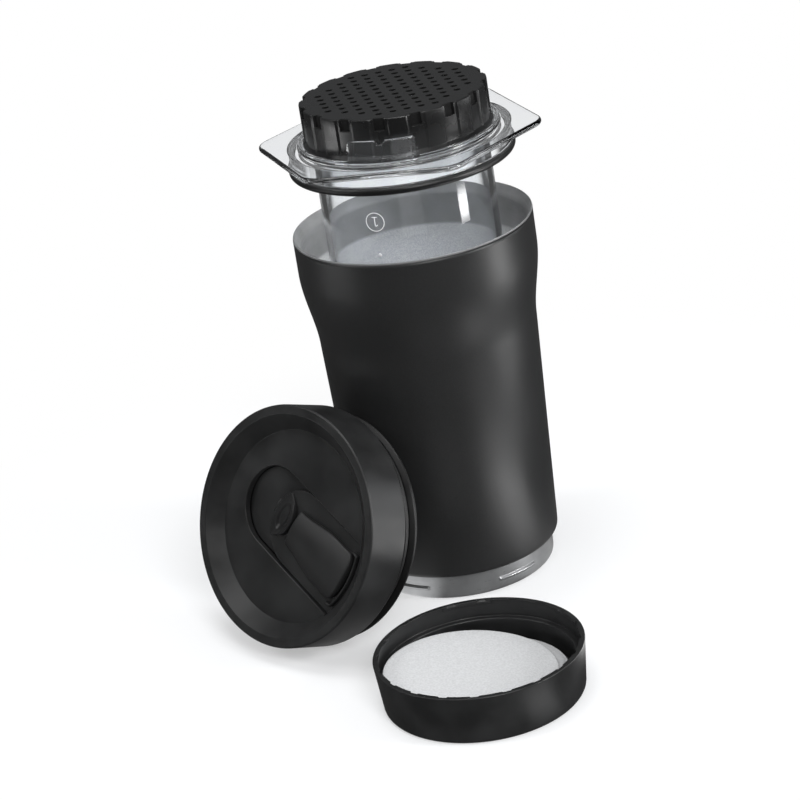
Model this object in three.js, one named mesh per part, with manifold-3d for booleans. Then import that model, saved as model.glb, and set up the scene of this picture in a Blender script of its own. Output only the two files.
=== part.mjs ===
// A travel coffee press: a double-walled steel tumbler, the clear piston press that nests in it upside down,
// the sliding-mouth lid that leans on the tumbler, and the paper holder that twists onto the tumbler's foot.
// Millimetres, +Z up. The origin is the centre of the tumbler's flat base, on the surface it stands on.
// The camera side is -Y, so the lid stands at the front left and the paper holder at the front.

import * as THREE from 'three';
import { mergeVertices } from 'three/addons/utils/BufferGeometryUtils.js';
import Module from 'manifold-3d';

const wasm = await Module();
wasm.setup();

// Facets and cutting
const roundSegments = 32;
const holeSegments = 6;
const arcSteps = 3;
const waistSteps = 4;
const sectionSides = 6;
const overrun = 1.0;

// Tumbler
const rimRadius = 46.0;
const tumblerHeight = 143.5;
const shellWall = 0.8;
const vacuumGap = 1.1;
const linerWall = 0.8;
const lipHeight = 0.7;
const lipRound = 0.3;
const lipInset = 0.1;
const waistRadius = 42.1;
const waistDepth = 44.0;
const shoulderDepth = 14.0;
const footRadius = 39.1;
const shellCorner = 2.2;
const linerCorner = 2.6;
const shellFloorHole = 28.0;
const baseRingHeight = 11.5;
const baseRingInset = 2.9;
const baseCorner = 2.4;
const baseWall = 1.0;
const linerFloorGap = 1.2;
const linerFloor = 1.0;
const getterRadius = 8.0;
const getterHeight = 1.0;

// Twist-lock lugs on the steel base ring
const lugCount = 5;
const ringLugSweepShare = 0.076;
const ringLugProud = 0.7;
const ringLugHeight = 1.6;
const ringLugRise = 4.0;
const ringLugRoot = 0.4;
const ringLugTurn = THREE.MathUtils.degToRad(-57);

// Press chamber, lifted clear of the rim
const chamberLift = 33.0;
const seatClearance = 0.3;
const boreRadius = 31.0;
const tubeWall = 2.3;
const tubeBelowFlange = 82.0;
const neckWall = 1.4;
const neckHeight = 12.5;
const flangeThickness = 2.2;
const flangeApothem = 48.0;
const flangeCorner = 9.0;
const flangeTurn = THREE.MathUtils.degToRad(-12);
const flangeSides = 6;
const sealMouthClearance = 0.2;
const skirtWall = 2.2;
const skirtDepth = 8.6;
const sealSection = 3.4;
const sealRise = 2.0;
const sealProud = 0.9;
const sealGrooveClearance = 0.1;
const collarRadius = 38.2;
const collarWall = 1.0;
const collarHeight = 1.6;
const tabHeight = 9.0;
const tabWall = 1.4;
const tabProud = 0.3;
const tabSweepShare = 0.111;
const tabTurn = THREE.MathUtils.degToRad(258);
const neckLugCount = 4;
const neckLugSweepShare = 0.083;
const neckLugProud = 1.0;
const neckLugHeight = 1.8;
const neckLugRise = 5.2;

// Filter cap
const capNeckClearance = 0.4;
const capHeight = 16.1;
const capSeatGap = 0.2;
const capWall = 1.7;
const capPlate = 2.3;
const capFootProud = 0.7;
const capFootHeight = 1.2;
const capChamfer = 0.5;
const capRidgeProud = 1.0;
const capRidgeHeight = 1.6;
const capRidgeGap = 0.4;
const notchCount = 16;
const notchWidth = 4.2;
const notchHeight = 4.6;
const notchDepth = 1.3;
const notchTurn = THREE.MathUtils.degToRad(-12);
const capHoleRadius = 1.2;
const capHolePitch = 5.33;
const capHoleReach = 5;
const capHoleCornerSum = 7;
const capHoleTurn = THREE.MathUtils.degToRad(8.5);

// Plunger, standing on the tumbler's floor with its seal in the chamber
const plungerRestGap = 0.2;
const sealInsertion = 13.5;
const plungerRadius = 28.4;
const plungerWall = 2.2;
const plungerFlangeRadius = 31.4;
const plungerFlange = 3.0;
const pistonSealHeight = 11.0;
const pistonSealFace = 2.4;
const pistonSealClearance = 0.15;
const pistonSealWaist = 1.3;
const pistonSealLip = 2.6;
const pistonHeadRadius = 24.0;
const pistonHeadClearance = 0.1;

// Lid
const lidRimInset = 0.2;
const lidSkirtDepth = 18.2;
const lidSkirtWall = 2.2;
const lidEdge = 0.8;
const lidLand = 3.6;
const lidConeWidth = 5.8;
const lidDeckDepth = 5.0;
const lidDeckThickness = 2.5;
const lidPieceGap = 0.3;
const slotHalfWidth = 15.9;
const slotLeft = 27.5;
const slotRight = 37.6;
const slotTurn = THREE.MathUtils.degToRad(-26.5);
const trayThickness = 1.8;
const plugPlate = 2.4;
const plugTail = 4.9;
const plugMouthClearance = 1.7;
const plugWall = 3.6;
const plugGrooveDepth = 1.4;
const gasketHeight = 2.8;
const gasketSqueeze = 0.1;
const frontGasketDrop = 1.4;
const gasketPitch = 5.0;
const mouthHoleRadius = 5.5;
const mouthHoleReach = 27.0;

// Lid slider, with its travel towards the middle of the lid
const sliderTravel = 15.0;
const sliderEndGap = 0.4;
const sliderPlate = 1.5;
const bridgeHalfWidth = 10.5;
const bridgeLeft = 0.6;
const bridgeRight = 33.4;
const bridgeHeight = 3.6;
const bridgeShoulderShare = 0.45;
const thumbPadHeight = 1.0;
const thumbPadInset = 0.6;
const ridgeThickness = 1.2;
const ridgeHeight = 2.6;
const ridgeRadius = 11.0;
const ridgeGap = 0.9;
const ridgeSweepShare = 0.24;
const scoopRadius = 7.0;
const scoopDepth = 1.5;
const scoopCentre = 8.0;
const sealPadRadius = 7.6;
const sealPadThickness = 0.8;
const clipHalfWidth = 2.4;
const clipHalfLength = 3.0;
const clipCentre = 5.0;
const clipFootGrow = 2.2;
const clipFootHeight = 1.2;
const clipSlitGap = 0.5;

// Where the lid leans on the tumbler
const lidFacing = THREE.MathUtils.degToRad(223.5);
const lidLean = THREE.MathUtils.degToRad(23.2);
const lidSidestep = 6.5;
const lidContactGap = 0.3;

// Paper holder
const holderX = -1.4;
const holderY = -115.3;
const holderRimWall = 1.4;
const holderDraft = 1.8;
const holderHeight = 19.2;
const holderCorner = 2.2;
const holderRingClearance = 0.3;
const holderLedgeDepth = 7.0;
const holderLedgeWidth = 2.2;
const holderFloor = 2.0;
const holderLugProud = 0.7;
const holderLugHeight = 1.2;
const holderLugDrop = 0.4;
const holderLugSweepShare = 0.08;
const holderLugTurn = THREE.MathUtils.degToRad(20);

// Filter papers
const paperRoom = 3.25;
const paperThickness = 0.3;
const stackHeight = 4.4;
const paperGap = 0.3;
const secondPaperShift = 1.4;
const secondPaperTurn = THREE.MathUtils.degToRad(205);

// Heights that several pieces share
const shellFloorZ = baseRingHeight;
const linerUnderZ = shellFloorZ + shellWall + linerFloorGap;
const linerFloorZ = linerUnderZ + linerFloor;
const lipUnderZ = tumblerHeight - lipHeight;
const flangeZ = tumblerHeight + seatClearance + chamberLift;
const flangeTopZ = flangeZ + flangeThickness;
const neckTopZ = flangeTopZ + neckHeight;
const tubeRadius = boreRadius + tubeWall;
const neckRadius = boreRadius + neckWall;
const capRadius = neckRadius + neckLugProud + capNeckClearance + capWall;
const capFootRadius = capRadius + capFootProud;
const capBottomZ = flangeTopZ + capSeatGap;
const capTopZ = capBottomZ + capHeight;
const linerInset = shellWall + vacuumGap;
const mouthRadius = rimRadius - linerInset - linerWall;
const baseRingRadius = footRadius - baseRingInset;
const holderBore = baseRingRadius + ringLugProud + holderRingClearance;
const holderTopRadius = holderBore + holderRimWall;
const holderFootRadius = holderTopRadius - holderDraft;
const holderWellRadius = holderBore - holderLedgeWidth;
const paperRadius = holderWellRadius - paperRoom;
const skirtRadius = mouthRadius - sealMouthClearance - sealProud;
const lidRadius = rimRadius - lidRimInset;
const plugRadius = mouthRadius - plugMouthClearance;
const frontGasketDepth = lidSkirtDepth + frontGasketDrop;
const rearGasketDepth = frontGasketDepth + gasketPitch;
const plugDepth = rearGasketDepth + plugTail;
const gasketRadius = mouthRadius + gasketSqueeze;
const tubeEndZ = flangeTopZ - tubeBelowFlange;

// Helpers that turn geometry into closed solids and back
function closed(geometry) {
  const bare = geometry.clone();
  bare.deleteAttribute('normal');
  bare.deleteAttribute('uv');
  const merged = mergeVertices(bare);
  const place = merged.getAttribute('position');
  const faces = [];
  let volume = 0;
  const a = new THREE.Vector3();
  const b = new THREE.Vector3();
  const c = new THREE.Vector3();
  for (let i = 0; i < merged.index.count; i += 3) {
    const [p, q, r] = [0, 1, 2].map((k) => merged.index.getX(i + k));
    if (p === q || q === r || r === p) continue;
    faces.push([p, q, r]);
    a.fromBufferAttribute(place, p);
    b.fromBufferAttribute(place, q);
    c.fromBufferAttribute(place, r);
    volume += a.dot(b.cross(c));
  }
  const order = volume < 0 ? faces.map(([p, q, r]) => [p, r, q]) : faces;
  merged.setIndex(order.flat());
  return merged;
}

function solid(geometry) {
  const mesh = closed(geometry);
  return new wasm.Manifold(new wasm.Mesh({
    numProp: 3,
    vertProperties: new Float32Array(mesh.getAttribute('position').array),
    triVerts: new Uint32Array(mesh.index.array),
  }));
}

function shaped(body) {
  const mesh = body.getMesh();
  const geometry = new THREE.BufferGeometry();
  geometry.setAttribute('position', new THREE.BufferAttribute(new Float32Array(mesh.vertProperties), 3));
  geometry.setIndex(new THREE.BufferAttribute(new Uint32Array(mesh.triVerts), 1));
  return geometry;
}

function joined(bodies) {
  return bodies.reduce((whole, body) => whole.add(body));
}

function cutFrom(body, tools) {
  return tools.reduce((rest, tool) => rest.subtract(tool), body);
}

function turned(profile) {
  const points = profile.map(([radius, height]) => new THREE.Vector2(radius, height));
  return new THREE.LatheGeometry(points, roundSegments).rotateX(Math.PI / 2);
}

function ring(profile) {
  return turned([...profile, profile[0]]);
}

function slab(outline, bottom, top, curveSegments = arcSteps) {
  const depth = top - bottom;
  return new THREE.ExtrudeGeometry(outline, { depth, bevelEnabled: false, curveSegments })
    .translate(0, 0, bottom);
}

function rod(radius, bottom, top, x = 0, y = 0, segments = roundSegments) {
  const height = top - bottom;
  return new THREE.CylinderGeometry(radius, radius, height, segments)
    .rotateX(Math.PI / 2)
    .translate(x, y, (bottom + top) / 2);
}

function sector(innerRadius, outerRadius, middle, sweep) {
  const outline = new THREE.Shape();
  outline.absarc(0, 0, outerRadius, middle - sweep / 2, middle + sweep / 2, false);
  outline.absarc(0, 0, innerRadius, middle + sweep / 2, middle - sweep / 2, true);
  outline.closePath();
  return outline;
}

function roundedPolygon(sides, apothem, corner, turn) {
  const outline = new THREE.Shape();
  const step = (2 * Math.PI) / sides;
  const reach = (apothem - corner) / Math.cos(step / 2);
  for (let k = 0; k < sides; k += 1) {
    const angle = turn + k * step;
    const x = reach * Math.cos(angle);
    const y = reach * Math.sin(angle);
    outline.absarc(x, y, corner, angle - step / 2, angle + step / 2, false);
  }
  outline.closePath();
  return outline;
}

function arcPoints(centreR, centreZ, radius, from, to, steps = arcSteps) {
  return Array.from({ length: steps + 1 }, (_, k) => {
    const angle = from + ((to - from) * k) / steps;
    return [centreR + radius * Math.cos(angle), centreZ + radius * Math.sin(angle)];
  });
}

function piece(name, geometry, material) {
  const mesh = new THREE.Mesh(geometry, material);
  mesh.name = name;
  return mesh;
}

// Finishes
const blackCoat = () => new THREE.MeshStandardMaterial({ color: 0x2b2c2d, roughness: 0.45, metalness: 0.1 });
const bareSteel = () => new THREE.MeshStandardMaterial({ color: 0x8f9092, roughness: 0.35, metalness: 0.9 });
const clearPlastic = () => new THREE.MeshStandardMaterial({
  color: 0xe8ecee, roughness: 0.08, metalness: 0.0, transparent: true, opacity: 0.3,
});
const blackPlastic = () => new THREE.MeshStandardMaterial({ color: 0x232425, roughness: 0.5, metalness: 0.0 });
const greyPlastic = () => new THREE.MeshStandardMaterial({ color: 0x5a5c5e, roughness: 0.45, metalness: 0.0 });
const blackRubber = () => new THREE.MeshStandardMaterial({ color: 0x121213, roughness: 0.7, metalness: 0.0 });
const filterPaper = () => new THREE.MeshStandardMaterial({ color: 0xf0efeb, roughness: 0.95, metalness: 0.0 });
const getterMetal = () => new THREE.MeshStandardMaterial({ color: 0x6d6f70, roughness: 0.5, metalness: 0.8 });

// The tumbler's outside radius: a straight taper, then a smooth step out to the rim
function shellRadius(z) {
  const waistZ = tumblerHeight - waistDepth;
  const shoulderZ = tumblerHeight - shoulderDepth;
  const slope = (waistRadius - footRadius) / (waistZ - shellFloorZ);
  if (z <= waistZ) return footRadius + slope * (z - shellFloorZ);
  const share = Math.min(1, (z - waistZ) / (shoulderZ - waistZ));
  return waistRadius + (rimRadius - waistRadius) * share * share * (3 - 2 * share);
}

// Points up a wall that runs inside the tumbler's outside by an inset
function wallPoints(inset, bottomZ, topZ) {
  const waistZ = tumblerHeight - waistDepth;
  const shoulderZ = tumblerHeight - shoulderDepth;
  const levels = [bottomZ];
  for (let k = 0; k <= waistSteps; k += 1) levels.push(waistZ + ((shoulderZ - waistZ) * k) / waistSteps);
  levels.push(topZ);
  return levels.map((z) => [shellRadius(z) - inset, z]);
}

function footCornerPoints(inset, floorZ, corner) {
  return arcPoints(footRadius - inset - corner, floorZ + corner, corner, -Math.PI / 2, 0);
}

function outerShell() {
  const outside = [
    [shellFloorHole, shellFloorZ],
    ...footCornerPoints(0, shellFloorZ, shellCorner),
    ...wallPoints(0, shellFloorZ + shellCorner * 2, lipUnderZ),
  ];
  const inside = [
    [shellFloorHole, shellFloorZ + shellWall],
    ...footCornerPoints(shellWall, shellFloorZ + shellWall, shellCorner - shellWall),
    ...wallPoints(shellWall, shellFloorZ + shellCorner * 2, lipUnderZ),
  ];
  return piece('outer_shell', shaped(solid(ring([...outside, ...inside.reverse()]))), blackCoat());
}

function innerLiner() {
  const outerR = linerInset;
  const innerR = linerInset + linerWall;
  const low = linerUnderZ + linerCorner * 2;
  const lipOuter = rimRadius - lipInset;
  const profile = [
    [0, linerUnderZ],
    ...footCornerPoints(outerR, linerUnderZ, linerCorner),
    ...wallPoints(outerR, low, lipUnderZ),
    [lipOuter, lipUnderZ],
    ...arcPoints(lipOuter - lipRound, tumblerHeight - lipRound, lipRound, 0, Math.PI / 2, 2),
    ...arcPoints(mouthRadius + lipRound, tumblerHeight - lipRound, lipRound, Math.PI / 2, Math.PI, 2),
    ...wallPoints(innerR, low, lipUnderZ).reverse(),
    ...footCornerPoints(innerR, linerFloorZ, linerCorner - linerWall).reverse(),
    [0, linerFloorZ],
  ];
  return piece('inner_liner', shaped(solid(turned(profile))), bareSteel());
}

function baseCup() {
  const inner = baseRingRadius - baseWall;
  const cup = solid(turned([
    [0, 0],
    ...arcPoints(baseRingRadius - baseCorner, baseCorner, baseCorner, -Math.PI / 2, 0),
    [baseRingRadius, baseRingHeight],
    [inner, baseRingHeight],
    ...arcPoints(inner - baseCorner + baseWall, baseCorner, baseCorner - baseWall, 0, -Math.PI / 2),
    [0, baseWall],
  ]));
  const sweep = 2 * Math.PI * ringLugSweepShare;
  const lugs = Array.from({ length: lugCount }, (_, k) => {
    const middle = ringLugTurn + (2 * Math.PI * k) / lugCount;
    const outline = sector(baseRingRadius - ringLugRoot, baseRingRadius + ringLugProud, middle, sweep);
    return solid(slab(outline, ringLugRise, ringLugRise + ringLugHeight, arcSteps + 1));
  });
  return piece('base_cup', shaped(joined([cup, ...lugs])), bareSteel());
}

function vacuumGetter() {
  const disc = solid(rod(getterRadius, linerUnderZ - getterHeight, linerUnderZ));
  return piece('vacuum_getter', shaped(disc), getterMetal());
}

// The clear chamber: tube, neck, rounded hexagon flange, sealing skirt, collar, tab and cap lugs
function chamber() {
  const tube = solid(ring([
    [boreRadius, tubeEndZ],
    [tubeRadius - tubeWall / 2, tubeEndZ],
    [tubeRadius, tubeEndZ + tubeWall / 2],
    [tubeRadius, flangeTopZ],
    [neckRadius, flangeTopZ],
    [neckRadius, neckTopZ],
    [boreRadius, neckTopZ],
  ]));
  const flange = roundedPolygon(flangeSides, flangeApothem, flangeCorner, flangeTurn);
  const plate = solid(slab(flange, flangeZ, flangeTopZ, arcSteps + 2))
    .subtract(solid(rod(tubeRadius - tubeWall / 2, flangeZ - overrun, flangeTopZ + overrun)));
  const skirtBottomZ = flangeZ - skirtDepth;
  const grooveZ = skirtBottomZ + sealRise;
  const grooveR = skirtRadius + sealProud - sealSection - sealGrooveClearance;
  const skirt = solid(ring([
    [skirtRadius - skirtWall - sealSection / 2, skirtBottomZ],
    [skirtRadius, skirtBottomZ],
    [skirtRadius, grooveZ - sealGrooveClearance],
    [grooveR, grooveZ - sealGrooveClearance],
    [grooveR, grooveZ + sealSection + sealGrooveClearance],
    [skirtRadius, grooveZ + sealSection + sealGrooveClearance],
    [skirtRadius, flangeTopZ - flangeThickness / 2],
    [skirtRadius - skirtWall - sealSection / 2, flangeTopZ - flangeThickness / 2],
  ]));
  const collar = solid(ring([
    [collarRadius - collarWall, flangeTopZ - flangeThickness / 2],
    [collarRadius, flangeTopZ - flangeThickness / 2],
    [collarRadius, flangeTopZ + collarHeight],
    [collarRadius - collarWall, flangeTopZ + collarHeight],
  ]));
  const tabOutline = sector(collarRadius - tabWall, collarRadius + tabProud, tabTurn, 2 * Math.PI * tabSweepShare);
  const tab = solid(slab(tabOutline, flangeTopZ - flangeThickness / 2, flangeTopZ + tabHeight, arcSteps + 2));
  const lugZ = flangeTopZ + neckLugRise;
  const lugs = Array.from({ length: neckLugCount }, (_, k) => {
    const middle = flangeTurn + (2 * Math.PI * k) / neckLugCount;
    const inner = neckRadius - neckWall / 2;
    const outline = sector(inner, neckRadius + neckLugProud, middle, 2 * Math.PI * neckLugSweepShare);
    return solid(slab(outline, lugZ, lugZ + neckLugHeight, arcSteps));
  });
  return piece('chamber', shaped(joined([tube, plate, skirt, collar, tab, ...lugs])), clearPlastic());
}

function chamberSealRing() {
  const radius = sealSection / 2;
  const centreR = skirtRadius + sealProud - radius;
  const centreZ = flangeZ - skirtDepth + sealRise + radius;
  const section = arcPoints(centreR, centreZ, radius, 0, 2 * Math.PI, sectionSides + 2).slice(0, -1);
  return piece('chamber_seal_ring', shaped(solid(ring(section))), blackRubber());
}

function filterCap() {
  const inner = capRadius - capWall;
  const body = solid(turned([
    [0, capTopZ - capPlate],
    [inner, capTopZ - capPlate],
    [inner, capBottomZ],
    [capFootRadius, capBottomZ],
    [capFootRadius, capBottomZ + capFootHeight],
    [capRadius, capBottomZ + capFootHeight],
    [capRadius, capTopZ - capChamfer],
    [capRadius - capChamfer, capTopZ],
    [0, capTopZ],
  ]));
  const ridgeTopZ = flangeTopZ + neckLugRise - capRidgeGap;
  const ridges = Array.from({ length: neckLugCount }, (_, k) => {
    const middle = flangeTurn + (2 * Math.PI * k) / neckLugCount;
    const outline = sector(inner - capRidgeProud, inner + capWall / 2, middle, 2 * Math.PI * neckLugSweepShare);
    return solid(slab(outline, ridgeTopZ - capRidgeHeight, ridgeTopZ, arcSteps));
  });
  const notches = Array.from({ length: notchCount }, (_, k) => {
    const angle = notchTurn + (2 * Math.PI * k) / notchCount;
    const depth = notchDepth + overrun;
    const height = notchHeight + overrun;
    return solid(new THREE.BoxGeometry(depth, notchWidth, height)
      .translate(capRadius - notchDepth + depth / 2, 0, capTopZ - notchHeight + height / 2)
      .rotateZ(angle));
  });
  const holes = [];
  for (let i = -capHoleReach; i <= capHoleReach; i += 1) {
    for (let j = -capHoleReach; j <= capHoleReach; j += 1) {
      if (Math.abs(i) + Math.abs(j) > capHoleCornerSum) continue;
      const hole = rod(capHoleRadius, capTopZ - capPlate - overrun, capTopZ + overrun,
        i * capHolePitch, j * capHolePitch, holeSegments);
      holes.push(solid(hole.rotateZ(capHoleTurn)));
    }
  }
  return piece('filter_cap', shaped(cutFrom(joined([body, ...ridges]), [...notches, ...holes])), blackPlastic());
}

const plungerBottomZ = linerFloorZ + plungerRestGap;
const plungerTopZ = tubeEndZ + sealInsertion;

function plungerTube() {
  const sealBottomZ = plungerTopZ - pistonSealHeight;
  const headTopZ = plungerTopZ - pistonSealFace - pistonHeadClearance;
  const inner = plungerRadius - plungerWall;
  const headInner = pistonHeadRadius - plungerWall;
  return piece('plunger_tube', shaped(solid(turned([
    [0, headTopZ - plungerWall],
    [headInner, headTopZ - plungerWall],
    [headInner, sealBottomZ - plungerWall],
    [inner, sealBottomZ - plungerWall * 2],
    [inner, plungerBottomZ],
    [plungerFlangeRadius, plungerBottomZ],
    [plungerFlangeRadius, plungerBottomZ + plungerFlange],
    [plungerRadius, plungerBottomZ + plungerFlange],
    [plungerRadius, sealBottomZ - pistonHeadClearance],
    [pistonHeadRadius, sealBottomZ - pistonHeadClearance],
    [pistonHeadRadius, headTopZ],
    [0, headTopZ],
  ]))), greyPlastic());
}

function plungerSeal() {
  const sealBottomZ = plungerTopZ - pistonSealHeight;
  const outer = boreRadius - pistonSealClearance;
  const inner = pistonHeadRadius + pistonHeadClearance;
  return piece('plunger_seal', shaped(solid(turned([
    [0, plungerTopZ - pistonSealFace],
    [inner, plungerTopZ - pistonSealFace],
    [inner, sealBottomZ],
    [outer - pistonSealWaist, sealBottomZ],
    [outer, sealBottomZ + pistonSealLip / 2],
    [outer - pistonSealWaist, sealBottomZ + pistonSealLip],
    [outer - pistonSealWaist, plungerTopZ - pistonSealLip * 2],
    [outer, plungerTopZ - pistonSealLip],
    [outer - pistonSealWaist, plungerTopZ - pistonSealFace / 2],
    [0, plungerTopZ],
  ]))), blackRubber());
}

// Lid pieces, drawn with the lid's face at height zero and its slot along X
function stadium(left, right, halfWidth, endRadius) {
  const outline = new THREE.Shape();
  const centre = -left + halfWidth;
  const tip = Math.asin(halfWidth / endRadius);
  outline.absarc(centre, 0, halfWidth, Math.PI / 2, (3 * Math.PI) / 2, false);
  outline.absarc(right - endRadius, 0, endRadius, -tip, tip, false);
  outline.closePath();
  return outline;
}

const deckZ = -lidDeckDepth;
const deckUnderZ = deckZ - lidDeckThickness;
const trayTopZ = deckUnderZ - lidPieceGap;
const trayUnderZ = trayTopZ - trayThickness;
const plugTopZ = trayUnderZ - lidPieceGap;
const plateUnderZ = plugTopZ - plugPlate;
const skirtInnerRadius = lidRadius - lidSkirtWall;

function lidCover() {
  const landR = lidRadius - lidLand;
  const coneR = landR - lidConeWidth;
  const cover = solid(turned([
    [0, deckUnderZ],
    [skirtInnerRadius, deckUnderZ],
    [skirtInnerRadius, -lidSkirtDepth],
    [lidRadius, -lidSkirtDepth],
    [lidRadius, -lidEdge],
    [lidRadius - lidEdge, 0],
    [landR, 0],
    [coneR, deckZ],
    [0, deckZ],
  ]));
  const slot = slab(stadium(slotLeft, slotRight, slotHalfWidth, slotRight), deckUnderZ - overrun, overrun, arcSteps * 3);
  return piece('lid_cover', shaped(cover.subtract(solid(slot))), blackPlastic());
}

function clipSlit(bottom, top) {
  const half = clipHalfWidth + clipSlitGap;
  const left = clipCentre - clipHalfLength - sliderTravel - clipSlitGap;
  const right = clipCentre + clipHalfLength + clipSlitGap;
  return solid(new THREE.BoxGeometry(right - left, half * 2, top - bottom)
    .translate((left + right) / 2, 0, (bottom + top) / 2));
}

function slotTray() {
  const outline = stadium(slotLeft - lidPieceGap, slotRight - lidPieceGap, slotHalfWidth - lidPieceGap,
    slotRight - lidPieceGap);
  const tray = solid(slab(outline, trayUnderZ, trayTopZ, arcSteps * 3));
  const mouth = solid(rod(mouthHoleRadius, trayUnderZ - overrun, trayTopZ + overrun, mouthHoleReach, 0, roundSegments / 2));
  return piece('slot_tray', shaped(cutFrom(tray, [mouth, clipSlit(trayUnderZ - overrun, trayTopZ + overrun)])),
    blackPlastic());
}

function lidPlug() {
  const skirtFit = skirtInnerRadius - lidPieceGap;
  const underSkirtZ = -lidSkirtDepth;
  const inner = plugRadius - plugWall;
  const grooveR = plugRadius - plugGrooveDepth;
  const groove = (depth) => [
    [grooveR, -depth - gasketHeight - lidPieceGap * 2],
    [plugRadius, -depth - gasketHeight - lidPieceGap * 2],
  ];
  const plug = solid(turned([
    [0, plateUnderZ],
    [inner, plateUnderZ],
    [inner, -plugDepth],
    [plugRadius, -plugDepth],
    ...groove(rearGasketDepth).reverse(),
    [grooveR, -rearGasketDepth],
    [plugRadius, -rearGasketDepth],
    ...groove(frontGasketDepth).reverse(),
    [grooveR, -frontGasketDepth],
    [plugRadius, -frontGasketDepth],
    [plugRadius, underSkirtZ],
    [skirtFit, underSkirtZ],
    [skirtFit, plugTopZ],
    [0, plugTopZ],
  ]));
  const low = plateUnderZ - overrun;
  const high = plugTopZ + overrun;
  const mouth = solid(rod(mouthHoleRadius, low, high, mouthHoleReach, 0, roundSegments / 2));
  return piece('lid_plug', shaped(cutFrom(plug, [mouth, clipSlit(low, high)])), blackPlastic());
}

function lidGasket(name, depth) {
  const inner = plugRadius - plugGrooveDepth + lidPieceGap;
  const topZ = -depth - lidPieceGap;
  const bottomZ = topZ - gasketHeight;
  const middleZ = (topZ + bottomZ) / 2;
  return piece(name, shaped(solid(ring([
    [inner, bottomZ],
    [plugRadius, bottomZ],
    [gasketRadius, middleZ],
    [plugRadius, topZ],
    [inner, topZ],
  ]))), blackRubber());
}

// Slider: a plate that rides on the tray, with a crowned bridge, a thumb pad, a scoop and a curved ridge
const sliderUnderZ = trayTopZ + lidPieceGap;
const sliderTopZ = sliderUnderZ + sliderPlate;
const sliderHalfWidth = slotHalfWidth - sliderEndGap;
const sliderLeft = slotLeft - sliderTravel - sliderEndGap;
const sliderRight = slotRight - sliderEndGap;

function bridgeSection() {
  const outline = new THREE.Shape();
  const shoulder = bridgeHeight * bridgeShoulderShare;
  outline.moveTo(-bridgeHalfWidth, -sliderPlate / 2);
  outline.lineTo(bridgeHalfWidth, -sliderPlate / 2);
  outline.lineTo(bridgeHalfWidth, shoulder);
  outline.quadraticCurveTo(bridgeHalfWidth / 2, bridgeHeight, 0, bridgeHeight);
  outline.quadraticCurveTo(-bridgeHalfWidth / 2, bridgeHeight, -bridgeHalfWidth, shoulder);
  outline.closePath();
  return outline;
}

function lidSlider() {
  const plate = solid(slab(stadium(sliderLeft, sliderRight, sliderHalfWidth, sliderRight),
    sliderUnderZ, sliderTopZ, arcSteps * 3));
  const bridge = solid(slab(bridgeSection(), 0, bridgeRight - bridgeLeft, arcSteps + 1)
    .rotateX(Math.PI / 2)
    .rotateZ(Math.PI / 2)
    .translate(bridgeLeft, 0, sliderTopZ));
  const ridgeCentre = bridgeLeft - ridgeGap - ridgeRadius;
  const padMiddleZ = (sliderUnderZ + sliderTopZ) / 2;
  const pad = solid(slab(stadium(sliderLeft - thumbPadInset, sliderRight, sliderHalfWidth - thumbPadInset, sliderRight),
    padMiddleZ, sliderTopZ + thumbPadHeight, arcSteps * 3))
    .intersect(solid(rod(ridgeRadius - ridgeThickness / 2, sliderUnderZ - overrun,
      sliderTopZ + thumbPadHeight + overrun, ridgeCentre)));
  const ridgeOutline = sector(ridgeRadius - ridgeThickness, ridgeRadius, 0, 2 * Math.PI * ridgeSweepShare);
  const ridge = solid(slab(ridgeOutline, padMiddleZ, sliderTopZ + ridgeHeight, arcSteps * 3)
    .translate(ridgeCentre, 0, 0));
  const scoopSphere = (scoopRadius * scoopRadius + scoopDepth * scoopDepth) / (2 * scoopDepth);
  const scoop = solid(new THREE.SphereGeometry(scoopSphere, roundSegments / 2, roundSegments / 4)
    .rotateX(Math.PI / 2)
    .translate(-scoopCentre, 0, sliderTopZ + thumbPadHeight - scoopDepth + scoopSphere));
  const pocket = solid(rod(sealPadRadius + lidPieceGap, sliderUnderZ - overrun,
    sliderUnderZ + sealPadThickness, mouthHoleReach, 0, roundSegments / 2));
  const body = joined([plate.add(bridge), pad.subtract(scoop)]).subtract(scoop).add(ridge).subtract(pocket);
  return piece('lid_slider', shaped(body), blackPlastic());
}

function sliderSeal() {
  const bottomZ = sliderUnderZ - lidPieceGap / 2;
  const pad = solid(rod(sealPadRadius, bottomZ, sliderUnderZ + sealPadThickness - lidPieceGap,
    mouthHoleReach, 0, roundSegments / 2));
  return piece('slider_seal', shaped(pad), blackRubber());
}

function sliderClip() {
  const stemTopZ = sliderUnderZ - lidPieceGap;
  const footTopZ = plateUnderZ - lidPieceGap;
  const footBottomZ = footTopZ - clipFootHeight;
  const stem = solid(new THREE.BoxGeometry(clipHalfLength * 2, clipHalfWidth * 2, stemTopZ - footBottomZ)
    .translate(clipCentre, 0, (stemTopZ + footBottomZ) / 2));
  const foot = solid(new THREE.BoxGeometry(clipHalfLength * 2, (clipHalfWidth + clipFootGrow) * 2, clipFootHeight)
    .translate(clipCentre, 0, (footTopZ + footBottomZ) / 2));
  return piece('slider_clip', shaped(stem.add(foot)), blackPlastic());
}

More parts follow.
